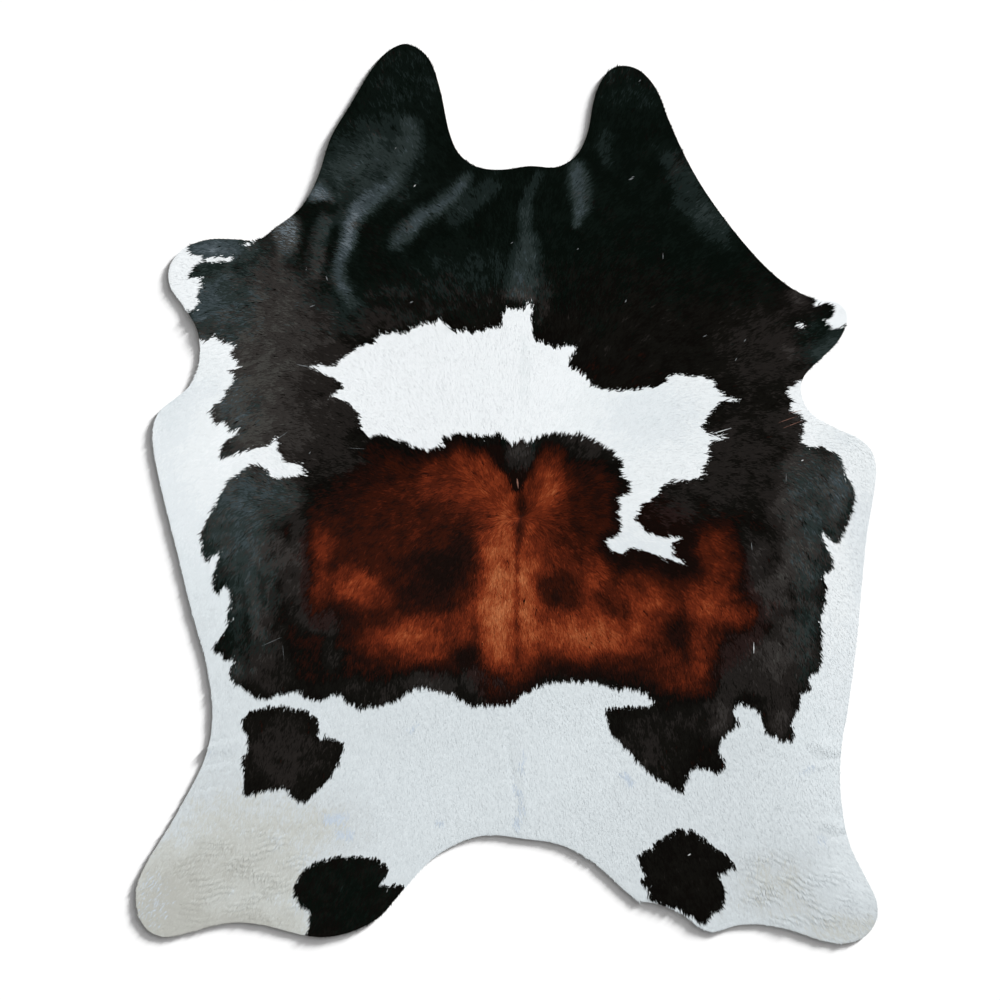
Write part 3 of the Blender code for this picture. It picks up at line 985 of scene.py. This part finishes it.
def coatMaterial():
    # leather's hair side: the same patches and tones as the hair, seen between the locks
    material, tree, shader = newMaterial("hair_side", roughness=0.6, specular=0.04)
    nodes, links = tree.nodes, tree.links
    sums = partial(mathNode, tree)

    def field(name):
        node = nodes.new("ShaderNodeAttribute")
        node.attribute_name = name
        return node.outputs["Fac"]

    def mixed(factor, a, b):
        node = nodes.new("ShaderNodeMix")
        node.data_type = "RGBA"
        for name, value in (("Factor", factor), ("A", a), ("B", b)):
            links.new(value, node.inputs[name])
        return node.outputs["Result"]

    reach, mottling = hairSide["tuftReach"], hairSide["mottle"]
    tufts = sums("MULTIPLY_ADD", grain(tree, *hairSide["tuftGrain"]), reach, -reach / 2)
    edge = nodes.new("ShaderNodeMapRange")
    links.new(sums("ADD", field("coat"), tufts), edge.inputs["Value"])
    edge.inputs["From Min"].default_value = -hairSide["border"]
    edge.inputs["From Max"].default_value = hairSide["border"]
    mottle = sums("MULTIPLY_ADD", grain(tree, *hairSide["mottleGrain"]), mottling, -mottling / 2)
    # the grey holds the painted sheen, and the pale the painted shade towards the tail
    shade = sums("SUBTRACT", field("brown"), field("grey"))
    darkPlace = sums("MULTIPLY_ADD", sums("ADD", shade, mottle), 0.5, 0.5)     # -1 to 1 becomes 0 to 1
    darks = []
    for kinds in ((warmBlack, anyBlack), (greenBlack, anyBlack)):
        shades = [entry for entry in darkShades.values() if entry["coat"] in kinds]
        ramp = spanRamp(tree, shades, -1, 1)
        links.new(darkPlace, ramp.inputs["Fac"])
        darks.append(ramp.outputs["Color"])
    pales = [entry for entry in paleShades.values() if entry["coat"] == white]
    paleRamp = spanRamp(tree, pales, 0, mostPale)
    palePlace = sums("MULTIPLY", sums("ADD", field("pale"), mottle), 1 / mostPale)
    links.new(palePlace, paleRamp.inputs["Fac"])
    dark = mixed(field("cool"), *darks)
    both = mixed(edge.outputs["Result"], paleRamp.outputs["Color"], dark)
    links.new(both, shader.inputs["Base Color"])
    addBump(tree, shader, grain(tree, *hairSide["bumpGrain"]),
            hairSide["bumpDistance"], hairSide["bumpStrength"])
    return material


suedeCloud = {"grain": (7.0, 5.0), "share": 0.6, "from": 0.55, "to": 1.0}
suedeNap = 6.0                 # detail
suedeSides = {                 # the two colours, the nap's scale and the bump's distance in metres
    "suede_side": ((168, 148, 120), (206, 190, 162), 260.0, 0.0008),
    "cut_edge": ((150, 140, 126), (214, 206, 192), 500.0, 0.0004),
}


def suedeMaterial(name, low, high, scale, bumpDistance):
    material, tree, shader = newMaterial(name, roughness=0.85, specular=0.2)
    cloudy = grain(tree, *suedeCloud["grain"])
    nap = grain(tree, scale, suedeNap)
    ramp = tree.nodes.new("ShaderNodeValToRGB")
    for stop, place, colour in zip(ramp.color_ramp.elements, ("from", "to"), (low, high)):
        stop.position = suedeCloud[place]
        stop.color = linear(colour)
    both = mathNode(tree, "MULTIPLY_ADD", cloudy, suedeCloud["share"], nap)
    tree.links.new(both, ramp.inputs["Fac"])
    tree.links.new(ramp.outputs["Color"], shader.inputs["Base Color"])
    addBump(tree, shader, nap, bumpDistance)
    return material


# the closed leather skin

count = len(topFlat)
places = np.vstack([np.column_stack([topFlat, topZ]), np.column_stack([underFlat, underZ])])
faces = [tuple(f) for f in topFaces]
faces += [tuple(count + v for v in reversed(f)) for f in underFaces]
edges = len(rim)
for i in range(edges):
    j = (i + 1) % edges
    faces.append((count + i, count + j, j, i))
skinMesh = meshFrom("cowhide_skin", places, faces)
for name, values in fields.items():
    addField(skinMesh, name, values)
skinMesh.materials.append(coatMaterial())
for name, row in suedeSides.items():
    skinMesh.materials.append(suedeMaterial(name, *row))
slots = np.zeros(len(faces), dtype=int)
slots[len(topFaces):] = 1
slots[len(topFaces) + len(underFaces):] = 2
skinMesh.polygons.foreach_set("material_index", slots)
skinMesh.shade_smooth()
skinMesh.set_sharp_from_angle(angle=math.radians(leather["sharpFrom"]))
skin = bpy.data.objects.new("cowhide_skin", skinMesh)
bpy.context.scene.collection.objects.link(skin)

# the skin's top alone, which the hair grows on and which is removed afterwards
groundMesh = meshFrom("hair_ground", np.column_stack([topFlat, topZ]), [tuple(f) for f in topFaces])
ground = bpy.data.objects.new("hair_ground", groundMesh)
bpy.context.scene.collection.objects.link(ground)
for name, values in fields.items():
    addField(groundMesh, name, values)
print("skin made,", len(skinMesh.polygons), "faces")


# the hair

hair = {
    "density": 137000.0,      # locks on a square metre
    "length": 19.0,
    "width": 2.52,
    "tilt": 7.0,              # degrees off the skin
    "paleTilt": 0.4,          # share of the tilt in the white
    "over": 0.3,              # how far past the cut edge a tip may reach
    "tufts": 15.0,            # how unevenly the patches' borders stand
    "tuftSize": 8.0,
    "tuftDetail": 1.5,
    "shrunk": 2.0,            # the dark coat's border stands this far inside its patches
    "settled": 0.53,          # a lock is dark or white as its patch is this share along it
    "borderReach": 40.0,      # how far along the lay the patches' border is looked for
    "borderWaves": 5.0,
    "sideTufts": 0.35,        # share of the tufts' height where the hair lies along the border
    "narrows": 5.0,           # within this of the cut edge the locks get narrower
    "narrowest": 0.35,
    "leastRoom": 0.2,         # the least that a lock has before the cut edge
    "mottle": 0.16,           # tone from tuft to tuft, in the dark coat
    "scatter": 0.08,          # tone from lock to lock
    "paleMottle": 0.045,
    "paleScatter": 0.07,
    "sway": 14.0,             # degrees either way
    "swayWaves": 1.2,         # how much of it comes in waves, to 1 from lock to lock
    "seed": 11,
}
hairNoise = {                 # wave length in millimetres, detail and shift
    "sway": (30.0, 1.0, 7.7),
    "border": (26.0, 3.0, 3.1),
    "coat": (60.0, 2.0, 2.2),
    "streaks": (9.0, 1.0, 5.3),
    "clouds": (38.0, 2.0, 9.7),
    "tufts": (5.5, 0.0, 1.9),
}
hairChances = {               # lowest and highest, from lock to lock
    "length": (0.7, 1.2),     # shares of the length, the width and the tilt
    "width": (0.7, 1.3),
    "tilt": (0.6, 1.4),
    "border": (-1.4, 1.4),    # millimetres
    "coat": (-0.3, 0.3),
    "haze": (0.1, 0.9),
    "brown": (0.15, 0.85),
}
hairTones = {
    "greenFrom": 0.5,         # the black leans to green where the cool tone is past this
    "redFrom": 0.14,          # and to red where the reddish tone is past this
    "unsure": 0.5,            # how far the green's bounds stray
    "unsureRed": 0.06,        # and the red's, in shares of that
    "streakReach": 9.0,
    "streakPull": 0.3,        # how much a whole streak takes one of brown and grey
    "clouds": 1.9,            # in the mottle, to 1 from the tufts
    "streaks": 0.6,
    "plain": 0.45,            # strength of the mottle where there is no tone
    "toned": 0.7,             # and what a full tone adds to it
    "brownest": 0.07,         # the most brown that a dark lock gets away from the browns
}
noLimit = 9.0
leastOutward, leastSteepness, leastTone = 0.05, 0.04, 0.02     # keep the divisions in bounds


def lockShapes():
    # three slender leaf shapes, 1 long and 1 wide, the tip straight or bent to a side
    shapes = bpy.data.collections.new("hair_locks")
    half, widest, thickness, tip = 0.5, 0.42, 0.035, 0.02
    for name, bend in (("straight", 0.0), ("left", -1.3), ("right", 1.3)):
        lean = bend / 4
        points = [(0, 0, 0), (lean + half, widest, thickness), (bend, 1, tip),
                  (lean - half, widest, thickness)]
        mesh = bpy.data.meshes.new("lock_" + name)
        mesh.from_pydata(points, [], [(0, 1, 3), (1, 2, 3)])
        shapes.objects.link(bpy.data.objects.new("lock_" + name, mesh))
    return shapes


def hairTree():
    tree = bpy.data.node_groups.new("hair coat", "GeometryNodeTree")
    tree.is_modifier = True
    kinds = {"Geometry": "Geometry", "Seed": "Int", "Locks": "Collection", "Material": "Material"}
    inputs = {
        "Geometry": None, "Density": 1000.0, "Length": 20.0, "Width": 2.5, "Tilt": 8.0, "Over": 2.0,
        "Tufts": 6.0, "Tuft Size": 8.0, "Mottle": 0.1, "Scatter": 0.1, "Sway": 10.0, "Coat": 1.0,
        "Coat Reach": 0.1, "Shrunk": 0.0, "From": 0.0, "To": 1.0, "Seed": 1, "Locks": None,
        "Material": None}
    sockets = {}
    for name, start in inputs.items():
        kind = "NodeSocket" + kinds.get(name, "Float")
        socket = tree.interface.new_socket(name=name, in_out="INPUT", socket_type=kind)
        if start is not None:
            socket.default_value = start
        sockets[name] = socket.identifier
    tree.interface.new_socket(name="Geometry", in_out="OUTPUT", socket_type="NodeSocketGeometry")
    nodes, links = tree.nodes, tree.links
    given = nodes.new("NodeGroupInput").outputs
    result = nodes.new("NodeGroupOutput")

    put, sums = partial(putOn, tree), partial(mathNode, tree)

    def vectors(operation, *values):
        node = nodes.new("ShaderNodeVectorMath")
        node.operation = operation
        for value, socket in zip(values, node.inputs):
            put(value, socket)
        return node

    def scaled(vector, factor):
        node = nodes.new("ShaderNodeVectorMath")
        node.operation = "SCALE"
        put(vector, node.inputs[0])
        put(factor, node.inputs["Scale"])
        return node.outputs["Vector"]

    def field(name, kind="FLOAT"):
        node = nodes.new("GeometryNodeInputNamedAttribute")
        node.data_type = kind
        node.inputs["Name"].default_value = name
        return node.outputs["Attribute"]

    def chance(low, high, number):
        node = nodes.new("FunctionNodeRandomValue")
        node.data_type = "FLOAT"
        put(low, node.inputs[2])
        put(high, node.inputs[3])
        put(sums("ADD", given["Seed"], float(number)), node.inputs["Seed"])
        return node.outputs[1]

    def either(factor, ifNot, ifSo):
        node = nodes.new("ShaderNodeMix")
        node.data_type = "FLOAT"
        put(factor, node.inputs[0])
        put(ifNot, node.inputs[2])
        put(ifSo, node.inputs[3])
        return node.outputs[0]

    position = nodes.new("GeometryNodeInputPosition").outputs[0]
    flatLay = field("lay", "FLOAT_VECTOR")

    def further(distance):
        # the place this many millimetres on along the lay
        step = scaled(flatLay, sums("MULTIPLY", distance, mm))
        return vectors("ADD", position, step).outputs["Vector"]

    def waves(size, detail, shift, place=position):
        # smooth noise about 0, its size in millimetres
        node = nodes.new("ShaderNodeTexNoise")
        shifted = vectors("ADD", place, (shift, shift * 0.7, 0.0)).outputs["Vector"]
        put(shifted, node.inputs["Vector"])
        put(sums("DIVIDE", 1 / mm, size), node.inputs["Scale"])
        node.inputs["Detail"].default_value = detail
        return sums("MULTIPLY_ADD", node.outputs["Fac"], 2.0, -1.0)

    scatter = nodes.new("GeometryNodeDistributePointsOnFaces")
    scatter.distribute_method = "RANDOM"
    put(given["Geometry"], scatter.inputs["Mesh"])
    put(given["Density"], scatter.inputs["Density"])
    put(given["Seed"], scatter.inputs["Seed"])
    normal = scatter.outputs["Normal"]

    # sideways sway, and the length, cut short where the tip would pass the cut edge
    sway = sums("MULTIPLY", waves(*hairNoise["sway"]), hair["swayWaves"])
    sway = sums("ADD", chance(-1.0, 1.0, 5), sway)
    sway = sums("RADIANS", sums("MULTIPLY", sway, given["Sway"]))
    straightOut = sums("MULTIPLY", field("rimSlope"), sums("COSINE", sway))
    outward = sums("MULTIPLY_ADD", field("rimAcross"), sums("SINE", sway), straightOut)
    outward = sums("MAXIMUM", sums("MULTIPLY", outward, -1.0), leastOutward)
    room = sums("ADD", field("rim"), sums("MULTIPLY", given["Over"], chance(-1.0, 1.0, 2)))
    room = sums("MAXIMUM", room, hair["leastRoom"])
    longest = sums("MULTIPLY", given["Length"], chance(*hairChances["length"], 1))
    length = sums("MINIMUM", longest, sums("DIVIDE", room, outward))
    narrowed = sums("MINIMUM", sums("DIVIDE", field("rim"), hair["narrows"]), 1.0)
    narrowed = sums("MAXIMUM", narrowed, hair["narrowest"])

    # dark or white, settled at a point part of the way along the lock; locks that lie on one line
    # towards the patches' border share its unevenness there, and so stand as one spike
    slope = field("coatSlope")
    steepness = sums("MAXIMUM", sums("MULTIPLY", slope, slope), leastSteepness)
    toBorder = sums("MULTIPLY", sums("MULTIPLY", field("coat"), slope), -1.0)
    toBorder = sums("DIVIDE", toBorder, steepness)
    toBorder = sums("MAXIMUM", toBorder, -hair["borderReach"])
    toBorder = sums("MINIMUM", toBorder, hair["borderReach"])
    tuftWaves = waves(given["Tuft Size"], hair["tuftDetail"], 0.0, further(toBorder))
    spikes = sums("MULTIPLY", given["Tufts"], tuftWaves)
    upright = 1 - hair["sideTufts"]
    height = sums("MULTIPLY_ADD", sums("ABSOLUTE", slope), upright, hair["sideTufts"])
    spikes = sums("MULTIPLY", spikes, height)
    depth = sums("MULTIPLY_ADD", sums("MULTIPLY", length, hair["settled"]), slope, field("coat"))
    depth = sums("SUBTRACT", sums("ADD", depth, spikes), given["Shrunk"])
    borderWaves = sums("MULTIPLY", waves(*hairNoise["border"]), hair["borderWaves"])
    depth = sums("ADD", depth, borderWaves)
    depth = sums("ADD", depth, chance(*hairChances["border"], 3))
    isDark = sums("GREATER_THAN", depth, 0.0)

    # whose coat: -1 bluish white, 0 white, 1 green black, 2 warm black, 3 the red black around
    # the browns
    unsure = sums("MULTIPLY_ADD", waves(*hairNoise["coat"]), hairTones["unsure"],
                  chance(*hairChances["coat"], 9))
    isGreen = sums("GREATER_THAN", sums("ADD", field("cool"), unsure), hairTones["greenFrom"])
    reddish = sums("MULTIPLY_ADD", unsure, hairTones["unsureRed"], field("reddish"))
    isRed = sums("GREATER_THAN", reddish, hairTones["redFrom"])
    kind = sums("SUBTRACT", sums("ADD", isRed, 2.0), isGreen)
    isHazy = sums("GREATER_THAN", field("haze"), chance(*hairChances["haze"], 11))
    kind = sums("SUBTRACT", sums("MULTIPLY", kind, isDark),
                sums("MULTIPLY", isHazy, sums("SUBTRACT", 1.0, isDark)))

    # tone, mottled in tufts and in streaks along the lay, and scattered from lock to lock; where
    # brown and grey meet, each streak takes one of the two
    reach = hairTones["streakReach"]
    near = [waves(*hairNoise["streaks"], further(step)) for step in (-reach, 0.0, reach)]
    streaks = sums("ADD", sums("ADD", *near[:2]), near[2])
    greyAndBrown = sums("ADD", sums("ADD", field("grey"), field("brown")), leastTone)
    greyShare = sums("DIVIDE", field("grey"), greyAndBrown)
    leaning = sums("MULTIPLY_ADD", streaks, hairTones["streakPull"],
                   chance(*hairChances["brown"], 10))
    takesBrown = sums("GREATER_THAN", leaning, greyShare)
    # the grey holds the painted sheen, and the pale the painted shade towards the tail
    dark = either(takesBrown, sums("MULTIPLY", field("grey"), -1.0), field("brown"))
    base = either(isDark, field("pale"), dark)
    strength = sums("MULTIPLY_ADD", sums("ABSOLUTE", base), hairTones["toned"], hairTones["plain"])
    clouds = sums("MULTIPLY_ADD", waves(*hairNoise["clouds"]), hairTones["clouds"],
                  waves(*hairNoise["tufts"]))
    clumps = sums("MULTIPLY_ADD", streaks, hairTones["streaks"], clouds)
    spread = sums("MULTIPLY", chance(-1.0, 1.0, 4), given["Scatter"])
    spread = sums("MULTIPLY_ADD", clumps, given["Mottle"], spread)
    tone = sums("MULTIPLY_ADD", spread, strength, base)
    # only white locks and those in or near the browns may be more than a little brown
    ceiling = sums("MULTIPLY_ADD", sums("SUBTRACT", 1.0, isDark), noLimit, hairTones["brownest"])
    tone = sums("MINIMUM", tone, sums("MULTIPLY_ADD", field("reddish"), noLimit, ceiling))
    rightCoat = sums("COMPARE", kind, given["Coat"], given["Coat Reach"])
    inSpan = sums("MULTIPLY", sums("GREATER_THAN", tone, given["From"]),
                  sums("LESS_THAN", tone, given["To"]))
    chosen = sums("MULTIPLY", rightCoat, inSpan)

    # along the lay, in the skin's plane, swayed to a side and tilted up
    offPlane = scaled(normal, vectors("DOT_PRODUCT", flatLay, normal).outputs["Value"])
    inPlane = vectors("SUBTRACT", flatLay, offPlane).outputs["Vector"]
    inPlane = vectors("NORMALIZE", inPlane).outputs["Vector"]
    turned = nodes.new("ShaderNodeVectorRotate")
    turned.rotation_type = "AXIS_ANGLE"
    put(inPlane, turned.inputs["Vector"])
    put(normal, turned.inputs["Axis"])
    put(sway, turned.inputs["Angle"])
    tilt = sums("MULTIPLY", given["Tilt"], chance(*hairChances["tilt"], 6))
    lift = sums("TANGENT", sums("RADIANS", tilt))
    aim = vectors("ADD", turned.outputs["Vector"], scaled(normal, lift)).outputs["Vector"]
    rotation = nodes.new("FunctionNodeAxesToRotation")
    rotation.primary_axis = "Y"
    rotation.secondary_axis = "Z"
    put(aim, rotation.inputs["Primary Axis"])
    put(normal, rotation.inputs["Secondary Axis"])

    size = nodes.new("ShaderNodeCombineXYZ")
    width = sums("MULTIPLY", given["Width"], chance(*hairChances["width"], 7))
    width = sums("MULTIPLY", width, narrowed)
    put(sums("MULTIPLY", width, mm), size.inputs["X"])
    for axis in "YZ":
        put(sums("MULTIPLY", length, mm), size.inputs[axis])

    locks = nodes.new("GeometryNodeCollectionInfo")
    put(given["Locks"], locks.inputs["Collection"])
    locks.inputs["Separate Children"].default_value = True
    locks.inputs["Reset Children"].default_value = True
    planted = nodes.new("GeometryNodeInstanceOnPoints")
    put(scatter.outputs["Points"], planted.inputs["Points"])
    put(chosen, planted.inputs["Selection"])
    put(locks.outputs["Instances"], planted.inputs["Instance"])
    planted.inputs["Pick Instance"].default_value = True
    put(chance(0.0, 2.99, 8), planted.inputs["Instance Index"])     # one of the three shapes
    put(rotation.outputs["Rotation"], planted.inputs["Rotation"])
    put(size.outputs["Vector"], planted.inputs["Scale"])
    realized = nodes.new("GeometryNodeRealizeInstances")
    put(planted.outputs["Instances"], realized.inputs["Geometry"])
    finished = nodes.new("GeometryNodeSetMaterial")
    put(realized.outputs["Geometry"], finished.inputs["Geometry"])
    put(given["Material"], finished.inputs["Material"])
    links.new(finished.outputs["Geometry"], result.inputs[0])
    return tree, sockets


coatTree, coatSockets = hairTree()
shapes = lockShapes()


def growHair(name, entry):
    isDark = entry["coat"] not in (white, bluish)
    modifier = ground.modifiers.new("coat", "NODES")
    modifier.node_group = coatTree
    material = hairMaterial(name, entry["colour"], isDark)
    settings = {
        "Density": hair["density"], "Length": hair["length"], "Width": hair["width"],
        "Tilt": hair["tilt"] * (1.0 if isDark else hair["paleTilt"]), "Over": hair["over"],
        "Tufts": hair["tufts"], "Tuft Size": hair["tuftSize"],
        "Mottle": hair["mottle" if isDark else "paleMottle"],
        "Scatter": hair["scatter" if isDark else "paleScatter"], "Sway": hair["sway"],
        "Coat": float(entry["coat"][0]), "Coat Reach": entry["coat"][1], "Shrunk": hair["shrunk"],
        "From": entry["span"][0], "To": entry["span"][1],
        "Seed": hair["seed"], "Locks": shapes, "Material": material}
    for key, value in settings.items():
        modifier[coatSockets[key]] = value
    ground.update_tag()
    graph = bpy.context.evaluated_depsgraph_get()
    mesh = bpy.data.meshes.new_from_object(ground.evaluated_get(graph), depsgraph=graph)
    ground.modifiers.remove(modifier)
    for attribute in [a.name for a in mesh.attributes if a.name in fields]:
        mesh.attributes.remove(mesh.attributes[attribute])
    mesh.name = "hair_" + name
    piece = bpy.data.objects.new("hair_" + name, mesh)
    bpy.context.scene.collection.objects.link(piece)
    print("hair", name, len(mesh.polygons), "faces")
    return piece


# single pale hairs and specks that lie on the coat: from x, y to x, y, and width
strayHairs = {
    "bright": {"colour": (214, 217, 218), "hairs": [
        (720, 80, 726, 82, 2.4), (604, -391, 604, -363, 2.0),
        (443, -885, 450, -881, 2.6), (502, 146, 549, 160, 1.8), (497, 138, 541, 146, 1.4),
        (507, 131, 531, 150, 1.2), (-274, 841, -270, 846, 2.4), (-227, 750, -223, 755, 2.2)]},
    "dim": {"colour": (112, 116, 118), "hairs": [
        (298, 767, 309, 771, 3.6), (304, 773, 312, 775, 2.0),
        (-237, 466, -229, 470, 3.0), (382, 573, 382, 589, 1.8), (289, 467, 293, 474, 2.6),
        (323, 1007, 328, 1012, 2.2), (-491, 542, -489, 554, 2.2), (-438, 520, -442, 532, 2.6),
        (-482, 456, -469, 461, 2.2), (580, 371, 585, 378, 2.2), (480, 383, 490, 388, 2.0),
        (558, 324, 563, 332, 2.0), (683, 28, 683, 49, 1.6), (172, 596, 177, 601, 2.2),
        (10, 611, 15, 615, 2.0), (350, -965, 355, -958, 2.2), (-484, 97, -479, 102, 2.2),
        (-477, 307, -521, 318, 1.5), (-486, 312, -511, 314, 1.2), (-589, 114, -533, 153, 1.8),
        (-384, 111, -345, 109, 0.7), (-682, 258, -638, 263, 1.0), (598, -120, 600, -140, 1.8),
        (-599, -373, -550, -351, 0.9), (-548, -371, -545, -407, 0.7)]},
    "rosy": {"colour": (128, 92, 80), "hairs": [
        (25, 38, 28, 12, 4.0), (664, 173, 710, 189, 1.2), (676, 160, 725, 179, 1.2),
        (690, 196, 722, 204, 1.2)]},
}
strayLift = 2.6           # above the leather, on top of the coat
strayBow = 0.6            # and as much more in the middle
strayTaper = ((0.0, 0.3), (0.45, 1.0), (1.0, 0.2))     # share along and share of the width there


def layStrayHairs(name, entry):
    places, faces = [], []
    rows = np.array(entry["hairs"], float)
    middles = (rows[:, 0:2] + rows[:, 2:4]) / 2
    heights = raisedAt(middles) + leather["thickness"] + strayLift
    for (x0, y0, x1, y1, width), z in zip(rows, heights):
        along = np.array([x1 - x0, y1 - y0])
        side = np.array([-along[1], along[0]]) / np.hypot(*along) * width / 2
        start = len(places)
        for share, wide in strayTaper:
            middle = np.array([x0, y0]) + share * along
            rise = z + strayBow * math.sin(math.pi * share)
            places += [(*(middle - wide * side), rise), (*(middle + wide * side), rise)]
        faces += [(i, i + 2, i + 3, i + 1) for i in (start, start + 2)]
    mesh = meshFrom("hair_stray_" + name, np.array(places), faces)
    mesh.materials.append(hairMaterial("stray_" + name, entry["colour"], False))
    piece = bpy.data.objects.new("hair_stray_" + name, mesh)
    bpy.context.scene.collection.objects.link(piece)
    print("stray hairs", name, len(faces), "faces")
    return piece


coatPieces = [growHair(name, entry) for name, entry in {**darkShades, **paleShades}.items()]
coatPieces += [layStrayHairs(name, entry) for name, entry in strayHairs.items()]
print("coat grown,", sum(len(p.data.polygons) for p in coatPieces), "faces in all")
bpy.data.objects.remove(ground)
for lock in list(shapes.objects):
    bpy.data.objects.remove(lock)
bpy.data.collections.remove(shapes)


# studio: pale floor, soft light from the upper right, camera straight above

studio = {                     # metres and degrees
    "floorHalf": 20.0,
    "floorColour": (0.9, 0.9, 0.9, 1.0),
    "floorGap": 0.0002,
    "cameraHeight": 6.0,
    "frameWidth": 2.447,
    "frameMiddle": (-0.0166, -0.0159),
    "fill": 0.16,              # light from all round
    "key": {"height": 52, "from": 48, "strength": 2.85, "spread": 40},
    "second": {"height": 60, "from": 200, "strength": 0.85, "spread": 70},
    "floorLow": {"height": 6.7, "from": 42, "strength": 21.3, "spread": 5.0},
    "floorMiddle": {"height": 14, "from": 39, "strength": 1.5, "spread": 14},
    "floorHigh": {"height": 28, "from": 39, "strength": 0.6, "spread": 30},
}

floorMesh = bpy.data.meshes.new("floor")
half = studio["floorHalf"]
corners = [(-half, -half, 0), (half, -half, 0), (half, half, 0), (-half, half, 0)]
floorMesh.from_pydata(corners, [], [(0, 1, 2, 3)])
floorMaterial, _, floorShader = newMaterial("floor_paint", roughness=0.9, specular=0.0)
floorShader.inputs["Base Color"].default_value = studio["floorColour"]
floorMesh.materials.append(floorMaterial)
floor = bpy.data.objects.new("floor", floorMesh)
floor.location.z = -studio["floorGap"]
bpy.context.scene.collection.objects.link(floor)

rugGroup = bpy.data.collections.new("rug_light_group")
floorGroup = bpy.data.collections.new("floor_light_group")
for piece in [skin] + coatPieces:
    rugGroup.objects.link(piece)
floorGroup.objects.link(floor)


def addSun(name, row, receivers):
    # height above the floor and direction it comes from, both in degrees
    lamp = bpy.data.lights.new(name, "SUN")
    lamp.energy = row["strength"]
    lamp.angle = math.radians(row["spread"])
    sun = bpy.data.objects.new(name, lamp)
    height, around = math.radians(row["height"]), math.radians(row["from"])
    sideways = math.cos(height)
    towards = Vector((math.cos(around) * sideways, math.sin(around) * sideways, math.sin(height)))
    sun.rotation_mode = "QUATERNION"
    sun.rotation_quaternion = towards.to_track_quat("Z", "Y")
    sun.light_linking.receiver_collection = receivers
    bpy.context.scene.collection.objects.link(sun)


addSun("key", studio["key"], rugGroup)
addSun("second", studio["second"], rugGroup)
for name in ("floorLow", "floorMiddle", "floorHigh"):
    addSun(name, studio[name], floorGroup)

world = bpy.data.worlds.new("studio")
bpy.context.scene.world = world
world.use_nodes = True
sky = world.node_tree.nodes["Background"]
sky.inputs["Color"].default_value = (1, 1, 1, 1)
seen = world.node_tree.nodes.new("ShaderNodeLightPath")
level = world.node_tree.nodes.new("ShaderNodeMapRange")
level.inputs["To Min"].default_value = studio["fill"]
level.inputs["To Max"].default_value = 1.0
world.node_tree.links.new(seen.outputs["Is Camera Ray"], level.inputs["Value"])
world.node_tree.links.new(level.outputs["Result"], sky.inputs["Strength"])

camera = bpy.data.objects.new("camera", bpy.data.cameras.new("camera"))
camera.data.sensor_width = 36.0
camera.data.lens = camera.data.sensor_width * studio["cameraHeight"] / studio["frameWidth"]
camera.location = (*studio["frameMiddle"], studio["cameraHeight"])
bpy.context.scene.collection.objects.link(camera)
bpy.context.scene.camera = camera
bpy.context.scene.view_settings.view_transform = "Standard"
print("studio set")


# what rides on what

for piece in [skin] + coatPieces:
    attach(piece, "root")
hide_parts("hide")
